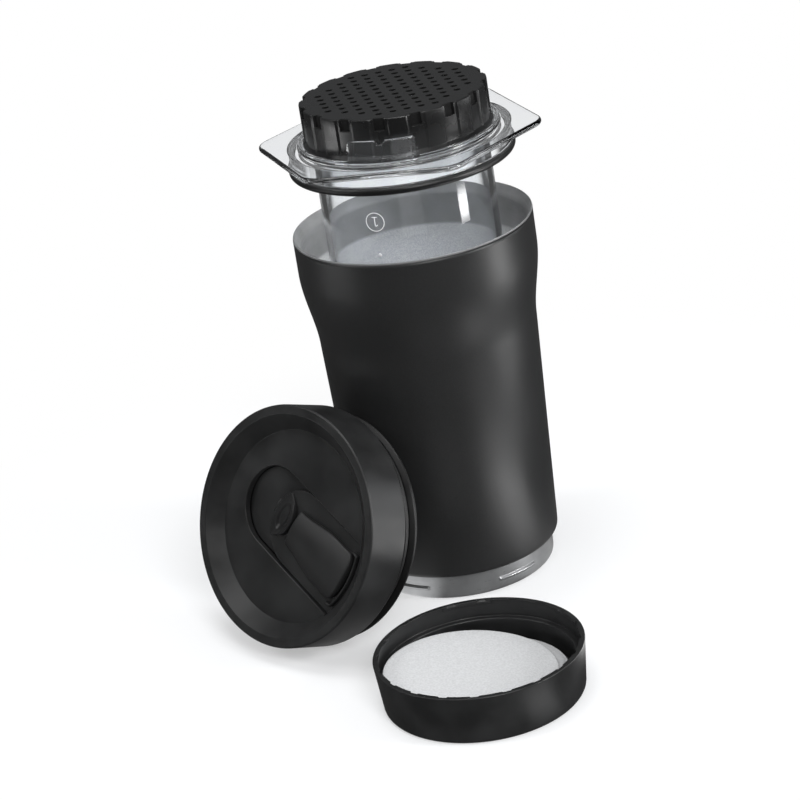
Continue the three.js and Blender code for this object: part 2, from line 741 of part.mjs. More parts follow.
// The lid stands on its rear edge and leans on the tumbler
function lidGroup() {
  const group = new THREE.Group();
  const outward = new THREE.Vector3(Math.cos(lidFacing), Math.sin(lidFacing), 0);
  const upward = new THREE.Vector3(0, 0, 1);
  const across = new THREE.Vector3().crossVectors(upward, outward);
  const facing = outward.clone().multiplyScalar(Math.cos(lidLean)).addScaledVector(upward, Math.sin(lidLean));
  const rise = new THREE.Vector3().crossVectors(facing, across);
  const gasketMiddleDepth = rearGasketDepth + lidPieceGap + gasketHeight / 2;
  const gasketDrop = gasketRadius * Math.cos(lidLean) - (plugDepth - gasketMiddleDepth) * Math.sin(lidLean);
  const rearZ = Math.max(plugRadius * Math.cos(lidLean), gasketDrop);
  const contactReach = Math.sqrt(plugRadius ** 2 - lidSidestep ** 2);
  const contactZ = rearZ + contactReach * Math.cos(lidLean);
  const away = shellRadius(contactZ) + lidContactGap + contactReach * Math.sin(lidLean);
  const centre = outward.clone().multiplyScalar(away)
    .addScaledVector(across, -lidSidestep)
    .addScaledVector(upward, rearZ)
    .addScaledVector(facing, plugDepth);
  const slotAlong = across.clone().multiplyScalar(Math.cos(slotTurn)).addScaledVector(rise, Math.sin(slotTurn));
  const slotAcross = new THREE.Vector3().crossVectors(facing, slotAlong);
  group.matrixAutoUpdate = true;
  group.setRotationFromMatrix(new THREE.Matrix4().makeBasis(slotAlong, slotAcross, facing));
  group.position.copy(centre);
  group.add(
    lidCover(),
    slotTray(),
    lidPlug(),
    lidGasket('lid_gasket_front', frontGasketDepth),
    lidGasket('lid_gasket_rear', rearGasketDepth),
    lidSlider(),
    sliderSeal(),
    sliderClip(),
  );
  return group;
}

// Paper holder and its papers, drawn round the holder's own axis
function filterHolder() {
  const ledgeZ = holderHeight - holderLedgeDepth;
  const body = solid(turned([
    [0, 0],
    ...arcPoints(holderFootRadius - holderCorner, holderCorner, holderCorner, -Math.PI / 2, 0),
    [holderTopRadius, holderHeight],
    [holderBore, holderHeight],
    [holderBore, ledgeZ],
    [holderWellRadius, ledgeZ],
    [holderWellRadius, holderFloor],
    [0, holderFloor],
  ]));
  const sweep = 2 * Math.PI * holderLugSweepShare;
  const root = (holderTopRadius - holderBore) / 2;
  const lugTopZ = holderHeight - holderLugDrop;
  const lugs = Array.from({ length: lugCount }, (_, k) => {
    const middle = holderLugTurn + (2 * Math.PI * k) / lugCount;
    const outline = sector(holderBore - holderLugProud, holderBore + root, middle, sweep);
    return solid(slab(outline, lugTopZ - holderLugHeight, lugTopZ, arcSteps * 2));
  });
  return piece('filter_holder', shaped(joined([body, ...lugs])), blackPlastic());
}

function paper(name, thickness) {
  return piece(name, shaped(solid(rod(paperRadius, 0, thickness))), filterPaper());
}

function holderGroup() {
  const group = new THREE.Group();
  const stack = paper('paper_stack', stackHeight);
  stack.position.set(0, 0, holderFloor);
  const second = paper('second_paper', paperThickness);
  second.position.set(
    secondPaperShift * Math.cos(secondPaperTurn),
    secondPaperShift * Math.sin(secondPaperTurn),
    holderFloor + stackHeight,
  );
  const loose = paper('loose_paper', paperThickness);
  const ledgeZ = holderHeight - holderLedgeDepth;
  const stackZ = holderFloor + stackHeight + paperThickness;
  const highZ = ledgeZ + paperGap;
  const lowZ = stackZ + paperGap;
  const shift = (holderBore + holderWellRadius) / 2 - paperGap - paperRadius;
  const squares = holderWellRadius ** 2 - paperRadius ** 2 + shift ** 2;
  const propReach = squares / (2 * shift) - shift;
  const tilt = Math.asin((highZ - lowZ) / (paperRadius + propReach));
  loose.rotation.y = tilt;
  loose.position.set(-shift, 0, lowZ + paperRadius * Math.sin(tilt));
  group.add(filterHolder(), stack, second, loose);
  group.position.set(holderX, holderY, 0);
  return group;
}

function press() {
  const group = new THREE.Group();
  group.add(
    outerShell(),
    innerLiner(),
    baseCup(),
    vacuumGetter(),
    plungerTube(),
    plungerSeal(),
    chamber(),
    chamberSealRing(),
    filterCap(),
    lidGroup(),
    holderGroup(),
  );
  return group;
}

export default press();
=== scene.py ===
"""A travel coffee press dressed over its fixed frame.

The tumbler stands on its steel foot with the clear press chamber drawn half out of it. The lid leans on the
tumbler, and the paper holder lies in front. Lengths are metres, +Z is up, and the origin is the centre of the
tumbler's base.
"""

import logging
import math
from dataclasses import dataclass, field
from enum import Enum
from typing import Sequence

import bmesh
import bpy
import numpy as np
from mathutils import Matrix, Vector
from mathutils.geometry import delaunay_2d_cdt


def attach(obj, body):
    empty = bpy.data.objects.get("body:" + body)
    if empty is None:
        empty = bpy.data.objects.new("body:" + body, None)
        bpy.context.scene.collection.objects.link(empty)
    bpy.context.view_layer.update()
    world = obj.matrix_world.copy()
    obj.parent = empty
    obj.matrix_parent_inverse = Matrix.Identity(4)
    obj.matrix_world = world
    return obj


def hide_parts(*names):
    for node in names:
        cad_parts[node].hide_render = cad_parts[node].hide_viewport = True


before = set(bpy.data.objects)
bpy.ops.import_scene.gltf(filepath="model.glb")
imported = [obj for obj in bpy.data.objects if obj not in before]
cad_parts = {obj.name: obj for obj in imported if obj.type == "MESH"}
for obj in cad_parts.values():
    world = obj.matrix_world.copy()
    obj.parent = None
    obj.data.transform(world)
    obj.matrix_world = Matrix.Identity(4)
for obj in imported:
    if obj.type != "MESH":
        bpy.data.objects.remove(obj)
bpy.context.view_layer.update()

log = logging.getLogger("press")

MM = 0.001
TURN = 2 * math.pi
MERGE = 2e-7

# Most of a side that the rounding of one corner takes, and the cosine past which a corner is straight
SIDE_SHARE = 0.49
STRAIGHT = 0.99999

# Share of the way from a slab's rim to its middle where a ring keeps the face flat beside the rounding
RING_SHARE = 0.02

# Plastic's index of refraction, the noise ranges that drive tone and gloss, and half of a mask's soft edge
PLASTIC_IOR = 1.5
SHADE_RANGE = (0.35, 0.65)
GLOSS_RANGE = (0.3, 0.7)
MASK_EDGE = 0.02 * MM

# A colour mix node's colour sockets, which share their names with others and are known by number
COLOUR_A, COLOUR_B, COLOUR_RESULT = 6, 7, 2

Pair = tuple[float, float]
Point = tuple[float, float, float]
Shell = tuple[np.ndarray, np.ndarray]
Object = bpy.types.Object
Material = bpy.types.Material
Node = bpy.types.Node
Socket = bpy.types.NodeSocket
Value = float | Sequence[float] | Socket


class Body(Enum):
    """The bodies that pieces ride on."""

    TUMBLER = "tumbler"
    PLUNGER = "plunger"
    CHAMBER = "press_chamber"
    CAP = "filter_cap"
    LID = "lid"
    SLIDER = "lid_slider"
    HOLDER = "filter_holder"
    PAPER = "loose_paper"


class Slot(Enum):
    """The record's material slots."""

    COAT = "black_coat"
    LINER = "liner_steel"
    FOOT = "base_steel"
    GREY = "grey_plastic"
    RUBBER = "black_rubber"
    CLEAR = "clear_plastic"
    CAP = "cap_plastic"
    LID = "lid_plastic"
    PLUG = "plug_plastic"
    SLIDER = "slider_plastic"
    HOLDER = "holder_plastic"
    PAPER = "filter_paper"


# Arrays and meshes

def smoothstep(value: np.ndarray) -> np.ndarray:
    """Rises from 0 to 1 along the cubic 3t^2 - 2t^3, with t the value held between 0 and 1."""
    t = np.clip(value, 0.0, 1.0)
    return t * t * (3 - 2 * t)


def ramp(value: np.ndarray, low: float, high: float) -> np.ndarray:
    """Rises in a straight line from 0 at low to 1 at high and stays level outside."""
    return np.clip((value - low) / (high - low), 0.0, 1.0)


def angle_between(angles: np.ndarray, middle: float) -> np.ndarray:
    """Size of the shortest turn from middle to each angle."""
    return np.abs((angles - middle + math.pi) % TURN - math.pi)


def sector_weight(angles: np.ndarray, middle: float, sweep: float, flank: float) -> np.ndarray:
    """Weight that is 1 inside a sector, 0 outside and smooth over its flanks.

    Args:
        angles: the angles to weigh.
        middle: the sector's middle angle.
        sweep: its whole sweep.
        flank: the angle over which it rises.

    Returns:
        One weight for each angle.
    """
    return smoothstep((sweep / 2 - angle_between(angles, middle)) / flank + 0.5)


def even_angles(count: int) -> np.ndarray:
    """Angles spaced alike round a full turn, without the last one."""
    return np.arange(count) * (TURN / count)


def repeated_weight(angles: np.ndarray, count: int, first: float, sweep: float, flank: float) -> np.ndarray:
    """Weight of as many sectors as count, spaced alike round a full turn from the first one's middle."""
    return sum(sector_weight(angles, first + TURN * k / count, sweep, flank) for k in range(count))


def circle(angles: np.ndarray) -> np.ndarray:
    """Points of the unit circle, as cosine and sine of each angle."""
    return np.stack([np.cos(angles), np.sin(angles)], -1)


def raised(flat: np.ndarray, level: np.ndarray | float) -> np.ndarray:
    """Flat points with a height, which is spread over them as its shape allows."""
    return np.concatenate([flat, np.broadcast_to(level, flat.shape[:-1])[..., None]], -1)


def dense_ends(edge: float, gap: float) -> np.ndarray:
    """Shares from 0 to 1: close together over the edge at each end and, past a gap, wider between them."""
    return np.concatenate([
        np.linspace(0, edge, 10),
        np.linspace(edge + gap, 1 - edge - gap, 31),
        np.linspace(1 - edge, 1, 10),
    ])


def rounded(corners: Sequence[Point], closed: bool = False, steps: int = 6,
            hold: float = 0.12 * MM) -> np.ndarray:
    """Profile through corners, each rounded to its own radius.

    Each corner gives a circular arc that touches both sides, and one point a short way along each side, so
    that the shading of a flat side isn't bent by its rounding. A radius of zero leaves the corner as it is.

    Args:
        corners: radius, height and rounding of each corner.
        closed: whether the last corner joins the first.
        steps: the steps of each arc.
        hold: how far the extra points lie from the arc.

    Returns:
        Points as rows of radius and height. Their count goes by the steps and by which corners are rounded.
    """
    count = len(corners)
    points: list[np.ndarray] = []
    for index, (radius, height, rounding) in enumerate(corners):
        here = np.array([radius, height])
        if rounding == 0 or (not closed and index in (0, count - 1)):
            points.append(here[None])
            continue
        before = np.array(corners[index - 1][:2]) - here
        after = np.array(corners[(index + 1) % count][:2]) - here
        reach = min(np.linalg.norm(before), np.linalg.norm(after)) * SIDE_SHARE
        back = before / max(np.linalg.norm(before), MERGE)
        ahead = after / max(np.linalg.norm(after), MERGE)
        half = 0.5 * math.acos(float(np.clip(back @ ahead, -STRAIGHT, STRAIGHT)))
        tangent = min(rounding / math.tan(half), reach)
        arc_radius = tangent * math.tan(half)
        bisector = (back + ahead) / max(np.linalg.norm(back + ahead), MERGE)
        centre = here + bisector * (arc_radius / math.sin(half))
        start = here + back * tangent - centre
        end = here + ahead * tangent - centre
        sweep = math.pi - 2 * half
        share = np.linspace(0, 1, steps + 1)[:, None]
        arc = centre + (np.sin((1 - share) * sweep) * start + np.sin(share * sweep) * end) / math.sin(sweep)
        near = min(tangent + hold, reach)
        points.extend([(here + back * near)[None], arc, (here + ahead * near)[None]])
    return np.concatenate(points)


def grid_shell(points: np.ndarray, wrap_rows: bool = False, wrap_columns: bool = True) -> Shell:
    """Joins a grid of points into quads, four neighbours each.

    Args:
        points: rows by columns by 3.
        wrap_rows: whether the last row joins the first.
        wrap_columns: whether the last column joins the first.

    Returns:
        The points in one list, and the quads as rows of four indices.
    """
    rows, columns = points.shape[:2]
    index = np.arange(rows * columns).reshape(rows, columns)
    lower = index if wrap_rows else index[:-1]
    upper = np.roll(index, -1, 0)[: len(lower)]
    if wrap_columns:
        lower_next, upper_next = np.roll(lower, -1, 1), np.roll(upper, -1, 1)
    else:
        lower, lower_next = lower[:, :-1], lower[:, 1:]
        upper, upper_next = upper[:, :-1], upper[:, 1:]
    quads = np.stack([lower, lower_next, upper_next, upper], -1).reshape(-1, 4)
    return points.reshape(-1, 3), quads


def polar_points(radius: np.ndarray, height: np.ndarray, angles: np.ndarray) -> np.ndarray:
    """Points at radius times (cos, sin) of the angle, at height: rows by angles by 3."""
    radius, height, turn = np.broadcast_arrays(radius, height, angles[None, :])
    return raised(radius[..., None] * circle(turn), height)


def turned_shell(profile: np.ndarray, angles: np.ndarray, closed: bool = True) -> Shell:
    """Turns a profile of radius and height round the axis."""
    points = polar_points(profile[:, :1], profile[:, 1:2], angles)
    return grid_shell(points, wrap_rows=closed)


def blended_shell(base: np.ndarray, variants: Sequence[tuple[np.ndarray, np.ndarray]], angles: np.ndarray,
                  closed: bool = True) -> Shell:
    """Turns a profile that changes with the angle.

    Each point is the base point plus, for each variant, its weight at that angle times the variant point
    less the base point.

    Args:
        base: the plain profile.
        variants: other profiles of as many points, each with one weight for each angle.
        angles: the angles of the columns.
        closed: whether the profile closes on itself.

    Returns:
        The shell.
    """
    shape = np.repeat(base[:, None, :], len(angles), 1)
    for variant, weight in variants:
        shape = shape + (variant - base)[:, None, :] * weight[None, :, None]
    return grid_shell(polar_points(shape[..., 0], shape[..., 1], angles), wrap_rows=closed)


def outline_slab(outline: np.ndarray, low: float, high: float, edge: float, steps: int = 5) -> Shell:
    """Closed slab with a rounded rim over a convex outline.

    The rim is a quarter circle above and below: the outline moves inwards along its normal by
    edge (1 - cos a) while the height goes to within edge (1 - sin a) of the face.

    Args:
        outline: x and y of the outline, in order.
        low: the underside's height.
        high: the top's height.
        edge: the rounding.
        steps: the steps of each quarter circle.

    Returns:
        The shell.
    """
    tangent = np.roll(outline, -1, 0) - np.roll(outline, 1, 0)
    normal = np.stack([tangent[:, 1], -tangent[:, 0]], -1)
    normal /= np.maximum(np.linalg.norm(normal, axis=1, keepdims=True), MERGE)
    centre = outline.mean(0)
    if ((outline - centre) * normal).sum() < 0:
        normal = -normal
    turn = np.linspace(0, math.pi / 2, steps + 1)
    inset = np.concatenate([edge * (1 - np.sin(turn)), edge * (1 - np.cos(turn))])
    level = np.concatenate([low + edge * (1 - np.cos(turn)), high - edge * (1 - np.sin(turn))])
    flat = outline[None] - normal[None] * inset[:, None, None]
    rows = raised(flat, level[:, None])
    first = np.broadcast_to(np.append(centre, low), rows[:1].shape)
    near = rows[:1] * (1 - RING_SHARE) + first * RING_SHARE
    last = np.broadcast_to(np.append(centre, high), rows[:1].shape)
    far = rows[-1:] * (1 - RING_SHARE) + last * RING_SHARE
    return grid_shell(np.concatenate([first, near, rows, far, last]))


def swept_ridge(path: np.ndarray, half_width: np.ndarray | float, low: float, high: np.ndarray | float,
                crown: float, steps: int = 10) -> Shell:
    """Low ridge along a flat path, with a superellipse for its section.

    A section point at angle a lies across the path by the half width times sign(cos a) |cos a|^crown, and
    rises from low to high with |sin a|^crown.

    Args:
        path: x and y along the middle.
        half_width: the half width, one for all or one for each path point.
        low: the height of the ridge's foot.
        high: the height of its crest, one for all or one for each point.
        crown: the exponent: near 0 is square, 1 is round.
        steps: the steps over the crest.

    Returns:
        The shell, closed at both ends.
    """
    tangent = np.gradient(path, axis=0)
    tangent /= np.linalg.norm(tangent, axis=1, keepdims=True)
    across = np.stack([-tangent[:, 1], tangent[:, 0]], -1)
    turn = np.linspace(0, math.pi, steps + 1)
    side = np.sign(np.cos(turn)) * np.abs(np.cos(turn)) ** crown
    lift = np.abs(np.sin(turn)) ** crown
    half_width, height = (np.broadcast_to(value, len(path))[:, None] for value in (half_width, high - low))
    flat = path[:, None, :] + across[:, None, :] * (half_width * side[None, :])[..., None]
    rows = raised(flat, low + height * lift[None, :])
    first = np.broadcast_to(rows[:1].mean(1, keepdims=True), rows[:1].shape)
    last = np.broadcast_to(rows[-1:].mean(1, keepdims=True), rows[-1:].shape)
    return grid_shell(np.concatenate([first, rows, last]))


def moved(shell: Shell, place: Matrix) -> Shell:
    """The shell with its points taken through a 4 by 4 matrix."""
    matrix = np.array(place)
    points, faces = shell
    return points @ matrix[:3, :3].T + matrix[:3, 3], faces


def add_object(name: str, data: bpy.types.ID) -> Object:
    """Makes an object of a mesh, a lamp or a camera, and links it to the scene."""
    thing = bpy.data.objects.new(name, data)
    bpy.context.scene.collection.objects.link(thing)
    return thing


def shells_to_object(name: str, shells: Sequence[Shell]) -> Object:
    """Makes one smooth-shaded object from closed shells, with poles merged and faces turned outwards.

    Args:
        name: the object's name.
        shells: points and faces of each shell.

    Returns:
        The object, linked to the scene.
    """
    points: list[list[float]] = []
    faces: list[list[int]] = []
    for shell_points, shell_faces in shells:
        faces.extend((shell_faces + len(points)).tolist())
        points.extend(shell_points.tolist())
    mesh = bpy.data.meshes.new(name)
    mesh.from_pydata(points, [], faces)
    work = bmesh.new()
    work.from_mesh(mesh)
    bmesh.ops.remove_doubles(work, verts=work.verts, dist=MERGE)
    bmesh.ops.dissolve_degenerate(work, edges=work.edges, dist=MERGE)
    bmesh.ops.recalc_face_normals(work, faces=work.faces)
    work.to_mesh(mesh)
    work.free()
    mesh.shade_smooth()
    return add_object(name, mesh)


def cut_object(piece: Object, cutter: Shell) -> Object:
    """Cuts a closed shell out of an object and keeps the result as its mesh.

    Args:
        piece: the object.
        cutter: what is taken out of it.

    Returns:
        The object.
    """
    tool = shells_to_object("cutter", [cutter])
    step = piece.modifiers.new("cut", "BOOLEAN")
    step.operation = "DIFFERENCE"
    step.solver = "EXACT"
    step.object = tool
    graph = bpy.context.evaluated_depsgraph_get()
    result = bpy.data.meshes.new_from_object(piece.evaluated_get(graph))
    piece.modifiers.clear()
    piece.data = result
    bpy.data.objects.remove(tool)
    return piece


def keep_sharp(piece: Object, limit: float) -> None:
    """Marks edges sharper than an angle, so that flats stay flat beside them."""
    work = bmesh.new()
    work.from_mesh(piece.data)
    for edge in work.edges:
        edge.smooth = len(edge.link_faces) == 2 and edge.calc_face_angle(0.0) < limit
    work.to_mesh(piece.data)
    work.free()


def register(piece: Object, body: Body, material: Material,
             replaces: Sequence[str] = ()) -> Object:
    """Gives a new piece its material and body, hides the nodes of the frame that it stands for, and logs it.

    Args:
        piece: the new piece.
        body: the body that it rides on.
        material: what it is made of.
        replaces: the nodes of the frame that it stands for.

    Returns:
        The piece.
    """
    piece.data.materials.clear()
    piece.data.materials.append(material)
    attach(piece, body.value)
    if replaces:
        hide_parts(*replaces)
    mesh = piece.data
    log.info("%s: %d points, %d faces, on %s", piece.name, len(mesh.vertices), len(mesh.polygons), body.value)
    return piece


def make_piece(name: str, shells: Sequence[Shell], body: Body, material: Material,
               replaces: Sequence[str] = ()) -> Object:
    """Makes a piece from closed shells and registers it, with the same arguments and result."""
    return register(shells_to_object(name, shells), body, material, replaces)


def dress_node(name: str, material: Material) -> None:
    """Gives a node of the frame a finished material and leaves its shape alone."""
    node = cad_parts[name]
    node.data.materials.clear()
    node.data.materials.append(material)
    log.info("%s: kept from the frame", name)


# Node trees

class NodeTree:
    """Node tree of a material or a world, with short ways to add and to join nodes."""

    def __init__(self, owner: Material | bpy.types.World, output: str = "ShaderNodeOutputMaterial") -> None:
        """Empties the owner's tree and adds its output node."""
        owner.use_nodes = True
        self.owner = owner
        self.tree = owner.node_tree
        self.tree.nodes.clear()
        self.output = self.add(output)

    def feed(self, value: Value, into: Socket) -> None:
        """Joins one socket to another, or sets a plain value on it."""
        if isinstance(value, Socket):
            self.tree.links.new(value, into)
        else:
            into.default_value = value

    def add(self, kind: str, inputs: dict[str | int, Value] | None = None) -> Node:
        """Adds a node of a kind.

        Args:
            kind: the node's class.
            inputs: sockets or plain values for its inputs, by their names or numbers.

        Returns:
            The node.
        """
        node = self.tree.nodes.new(kind)
        for key, value in (inputs or {}).items():
            self.feed(value, node.inputs[key])
        return node

    def math(self, operation: str, first: Value, second: Value = 0.0, clamp: bool = False) -> Socket:
        """Joins two values by an operation."""
        node = self.add("ShaderNodeMath", {0: first, 1: second})
        node.operation = operation
        node.use_clamp = clamp
        return node.outputs[0]

    def vector(self, operation: str, first: Value, second: Value = (0, 0, 0), out: str = "Vector") -> Socket:
        """Joins two vectors by an operation."""
        node = self.add("ShaderNodeVectorMath", {0: first, 1: second})
        node.operation = operation
        return node.outputs[out]

    def remap(self, value: Socket, low: float, high: float, first: float = 0.0, last: float = 1.0,
              kind: str = "LINEAR") -> Socket:
        """Turns the range from low to high into first to last, and stays level outside it.

        Args:
            value: what is read.
            low: where its range begins.
            high: where it ends.
            first: the result at low and below.
            last: the result at high and above.
            kind: the way between them.

        Returns:
            The result.
        """
        inputs = {"Value": value, "From Min": low, "From Max": high, "To Min": first, "To Max": last}
        node = self.add("ShaderNodeMapRange", inputs)
        node.interpolation_type = kind
        return node.outputs["Result"]

    def place(self, scale: Point = (1, 1, 1)) -> Socket:
        """Object coordinates, stretched by scale."""
        source = self.add("ShaderNodeTexCoord").outputs["Object"]
        return self.add("ShaderNodeMapping", {"Vector": source, "Scale": scale}).outputs["Vector"]

    def axes(self, place: Socket) -> bpy.types.NodeOutputs:
        """The X, Y and Z of a place."""
        return self.add("ShaderNodeSeparateXYZ", {"Vector": place}).outputs


def grey(value: float) -> Point:
    """A neutral grey, a trace cool."""
    return value * 0.985, value, value * 1.02


# Finishes

class NodeSheet(NodeTree):
    """Tree of a piece's material, round one shader."""

    def __init__(self, name: str) -> None:
        """Makes an empty material with its shader."""
        super().__init__(bpy.data.materials.new(name))
        self.shader = self.add("ShaderNodeBsdfPrincipled")
        self.feed(self.shader.outputs["BSDF"], self.output.inputs["Surface"])

    def paint(self, **sockets: Value) -> Material:
        """Feeds the shader's own sockets, with underscores for the spaces in their names."""
        for key, value in sockets.items():
            self.feed(value, self.shader.inputs[key.replace("_", " ")])
        return self.owner

    def noise(self, size: float, detail: float = 3.0, stretch: Point = (1, 1, 1)) -> Socket:
        """Noise with features of the given size in metres."""
        inputs = {"Vector": self.place(stretch), "Scale": 1 / size, "Detail": detail}
        return self.add("ShaderNodeTexNoise", inputs).outputs["Fac"]

    def shades(self, noise: Socket, tone: float, shares: Pair) -> Socket:
        """Grey between two shares of a tone, read by a noise."""
        node = self.add("ShaderNodeValToRGB", {"Fac": noise})
        for element, position, share in zip(node.color_ramp.elements, SHADE_RANGE, shares):
            element.position = position
            element.color = (*grey(tone * share), 1)
        return node.outputs["Color"]

    def gloss(self, noise: Socket, roughness: float, offsets: Pair) -> Socket:
        """Roughness between two offsets from its middle value, read by a noise."""
        return self.remap(noise, *GLOSS_RANGE, roughness + offsets[0], roughness + offsets[1])

    def below(self, level: float, fade: float) -> Socket:
        """Mask that is 1 below a level less its fade, and 0 above the level."""
        return self.remap(self.axes(self.place())["Z"], level - fade, level, 1, 0)

    def inside(self, radius: float, level: float) -> Socket:
        """Mask that is 1 nearer the Z axis than a radius and below a level, and 0 elsewhere."""
        distance = self.vector("LENGTH", self.place((1, 1, 0)), out="Value")
        near = self.remap(distance, radius - MASK_EDGE, radius + MASK_EDGE, 1, 0)
        return self.math("MULTIPLY", near, self.below(level, MASK_EDGE * 3))

    def blend(self, share: Socket, plain: Socket, other: Value) -> Socket:
        """Mixes a colour into a plain one.

        Args:
            share: how much of the other colour there is, from 0 to 1.
            plain: the colour, or the value, at 0.
            other: the colour at 1.

        Returns:
            The mixed colour.
        """
        mix = self.add("ShaderNodeMix")
        mix.data_type = "RGBA"
        self.feed(share, mix.inputs["Factor"])
        self.feed(plain, mix.inputs[COLOUR_A])
        self.feed(other, mix.inputs[COLOUR_B])
        return mix.outputs[COLOUR_RESULT]

    def bump(self, height: Socket, depth: float, under: Socket | None = None) -> Socket:
        """Raises the surface by up to depth metres, over an earlier bump if there is one."""
        node = self.add("ShaderNodeBump", {"Strength": 1.0, "Distance": depth, "Height": height})
        if under is not None:
            self.feed(under, node.inputs["Normal"])
        return node.outputs["Normal"]


@dataclass(frozen=True)
class Finish:
    """A material with one main tone."""

    name: str
    tone: float

    def build(self) -> Material:
        """Builds the material."""
        raise NotImplementedError


@dataclass(frozen=True)
class MouldedFinish(Finish):
    """Moulded plastic or rubber: a fine spark-eroded grain, faint flow marks and an uneven gloss.

    Where a shade-paint radius is given, the surface inside it and below a level is painted shade: nearly
    black and quite dull, standing in for the shade inside holes, notches and inner walls.
    """

    tone_spread: float = 0.25
    roughness: float = 0.42
    roughness_spread: float = 0.07
    grain: float = 0.35 * MM
    grain_depth: float = 0.006 * MM
    flow: float = 14 * MM
    specular: float = 0.3
    # Radius, level and tone of the painted shade inside a recess; a radius of 0 leaves it out
    shade_paint_radius: float = 0.0
    shade_paint_level: float = 0.0
    shade_paint_tone: float = 0.002

    def build(self) -> Material:
        """Builds the material."""
        sheet = NodeSheet(self.name)
        grain = sheet.noise(self.grain, 2.0)
        flow = sheet.noise(self.flow)
        colour = sheet.shades(flow, self.tone, (1 - self.tone_spread, 1 + self.tone_spread))
        gloss = sheet.gloss(flow, self.roughness, (-self.roughness_spread, self.roughness_spread))
        # Painted shade: inside the radius and below the level the colour turns nearly black and the roughness
        # full
        if self.shade_paint_radius:
            inside = sheet.inside(self.shade_paint_radius, self.shade_paint_level)
            colour = sheet.blend(inside, colour, (*grey(self.shade_paint_tone), 1))
            gloss = sheet.blend(inside, gloss, (*grey(1.0), 1))
        return sheet.paint(Specular_IOR_Level=self.specular, IOR=PLASTIC_IOR, Base_Color=colour,
                           Roughness=gloss, Normal=sheet.bump(grain, self.grain_depth))


@dataclass(frozen=True)
class CoatFinish(Finish):
    """Baked powder coat: pebbled at 0.7 mm, speckled finer, satin and nearly black."""

    roughness: float = 0.42
    specular: float = 0.3
    pebble: float = 0.7 * MM
    pebble_depth: float = 0.010 * MM
    speck: float = 0.16 * MM
    speck_depth: float = 0.003 * MM
    speck_shares: Pair = (0.75, 1.3)
    cloud: float = 30 * MM
    cloud_gloss: Pair = (-0.04, 0.05)

    def build(self) -> Material:
        """Builds the material."""
        sheet = NodeSheet(self.name)
        pebble = sheet.noise(self.pebble, 2.0)
        speck = sheet.noise(self.speck, 1.0)
        cloud = sheet.noise(self.cloud, 2.0)
        colour = sheet.shades(speck, self.tone, self.speck_shares)
        gloss = sheet.gloss(cloud, self.roughness, self.cloud_gloss)
        normal = sheet.bump(pebble, self.pebble_depth, sheet.bump(speck, self.speck_depth))
        return sheet.paint(Specular_IOR_Level=self.specular, IOR=PLASTIC_IOR, Base_Color=colour,
                           Roughness=gloss, Normal=normal)


@dataclass(frozen=True)
class SteelFinish(Finish):
    """Stainless steel with fine marks round the axis and cloudy patches, and, where a pale tone is given,
    paler and speckled below a height: partly a blasted look and partly painted light that stands in for light
    falling from above.
    """

    roughness: float
    metallic: float = 0.8
    mark: float = 0.5 * MM
    mark_depth: float = 0.002 * MM
    mark_gloss: Pair = (-0.05, 0.08)
    stretch_share: float = 0.04
    cloud: float = 9 * MM
    cloud_shares: Pair = (0.9, 1.08)
    blast_and_light_tone: float = 0.0
    blast_and_light_shares: Pair = (0.82, 1.1)
    blast_and_light_level: float = 0.0
    blast_and_light_fade: float = 1.2 * MM
    speck: float = 0.5 * MM

    def build(self) -> Material:
        """Builds the material."""
        sheet = NodeSheet(self.name)
        marks = sheet.noise(self.mark, 4.0, (self.stretch_share, self.stretch_share, 1))
        colour = sheet.shades(sheet.noise(self.cloud), self.tone, self.cloud_shares)
        # Painted light in part: below the level the colour is paler and speckled, a blasted look together
        # with painted light from above
        if self.blast_and_light_tone:
            blasted_and_lit = sheet.shades(sheet.noise(self.speck), self.blast_and_light_tone, self.blast_and_light_shares)
            colour = sheet.blend(sheet.below(self.blast_and_light_level, self.blast_and_light_fade), colour, blasted_and_lit)
        gloss = sheet.gloss(marks, self.roughness, self.mark_gloss)
        return sheet.paint(Metallic=self.metallic, Base_Color=colour, Roughness=gloss,
                           Normal=sheet.bump(marks, self.mark_depth))


@dataclass(frozen=True)
class ClearFinish(Finish):
    """Clear moulded plastic: polished, with faint flow waves and a breath of haze."""

    tone: float = 0.995
    specular: float = 0.25
    wave: float = 22 * MM
    wave_depth: float = 0.02 * MM
    haze: float = 5 * MM
    haze_shares: Pair = (0.98, 1.0)
    haze_gloss: Pair = (0.0, 0.035)

    def build(self) -> Material:
        """Builds the material."""
        sheet = NodeSheet(self.name)
        wave = sheet.noise(self.wave, 1.0)
        haze = sheet.noise(self.haze)
        return sheet.paint(Transmission_Weight=1.0, IOR=PLASTIC_IOR, Specular_IOR_Level=self.specular,
                           Base_Color=sheet.shades(haze, self.tone, self.haze_shares),
                           Roughness=sheet.gloss(haze, 0.0, self.haze_gloss),
                           Normal=sheet.bump(wave, self.wave_depth))


@dataclass(frozen=True)
class PaperFinish(Finish):
    """Creped filter paper: soft pits, crossing fibres and a faint mottle."""

    specular: float = 0.2
    roughness: float = 0.95
    sheen: float = 0.1
    crepe: float = 0.7 * MM
    fibre: float = 0.25 * MM
    fibre_stretch: float = 0.35
    fibre_share: float = 0.5
    depth: float = 0.16 * MM
    mottle: float = 0.8 * MM
    mottle_shares: Pair = (0.9, 1.05)

    def build(self) -> Material:
        """Builds the material."""
        sheet = NodeSheet(self.name)
        crepe = sheet.noise(self.crepe)
        fibre = sheet.noise(self.fibre, 3.0, (1, self.fibre_stretch, 1))
        mottle = sheet.noise(self.mottle, 4.0)
        normal = sheet.bump(crepe, self.depth, sheet.bump(fibre, self.depth * self.fibre_share))
        colour = sheet.shades(mottle, self.tone, self.mottle_shares)
        return sheet.paint(Specular_IOR_Level=self.specular, Sheen_Weight=self.sheen, Base_Color=colour,
                           Roughness=self.roughness, Normal=normal)


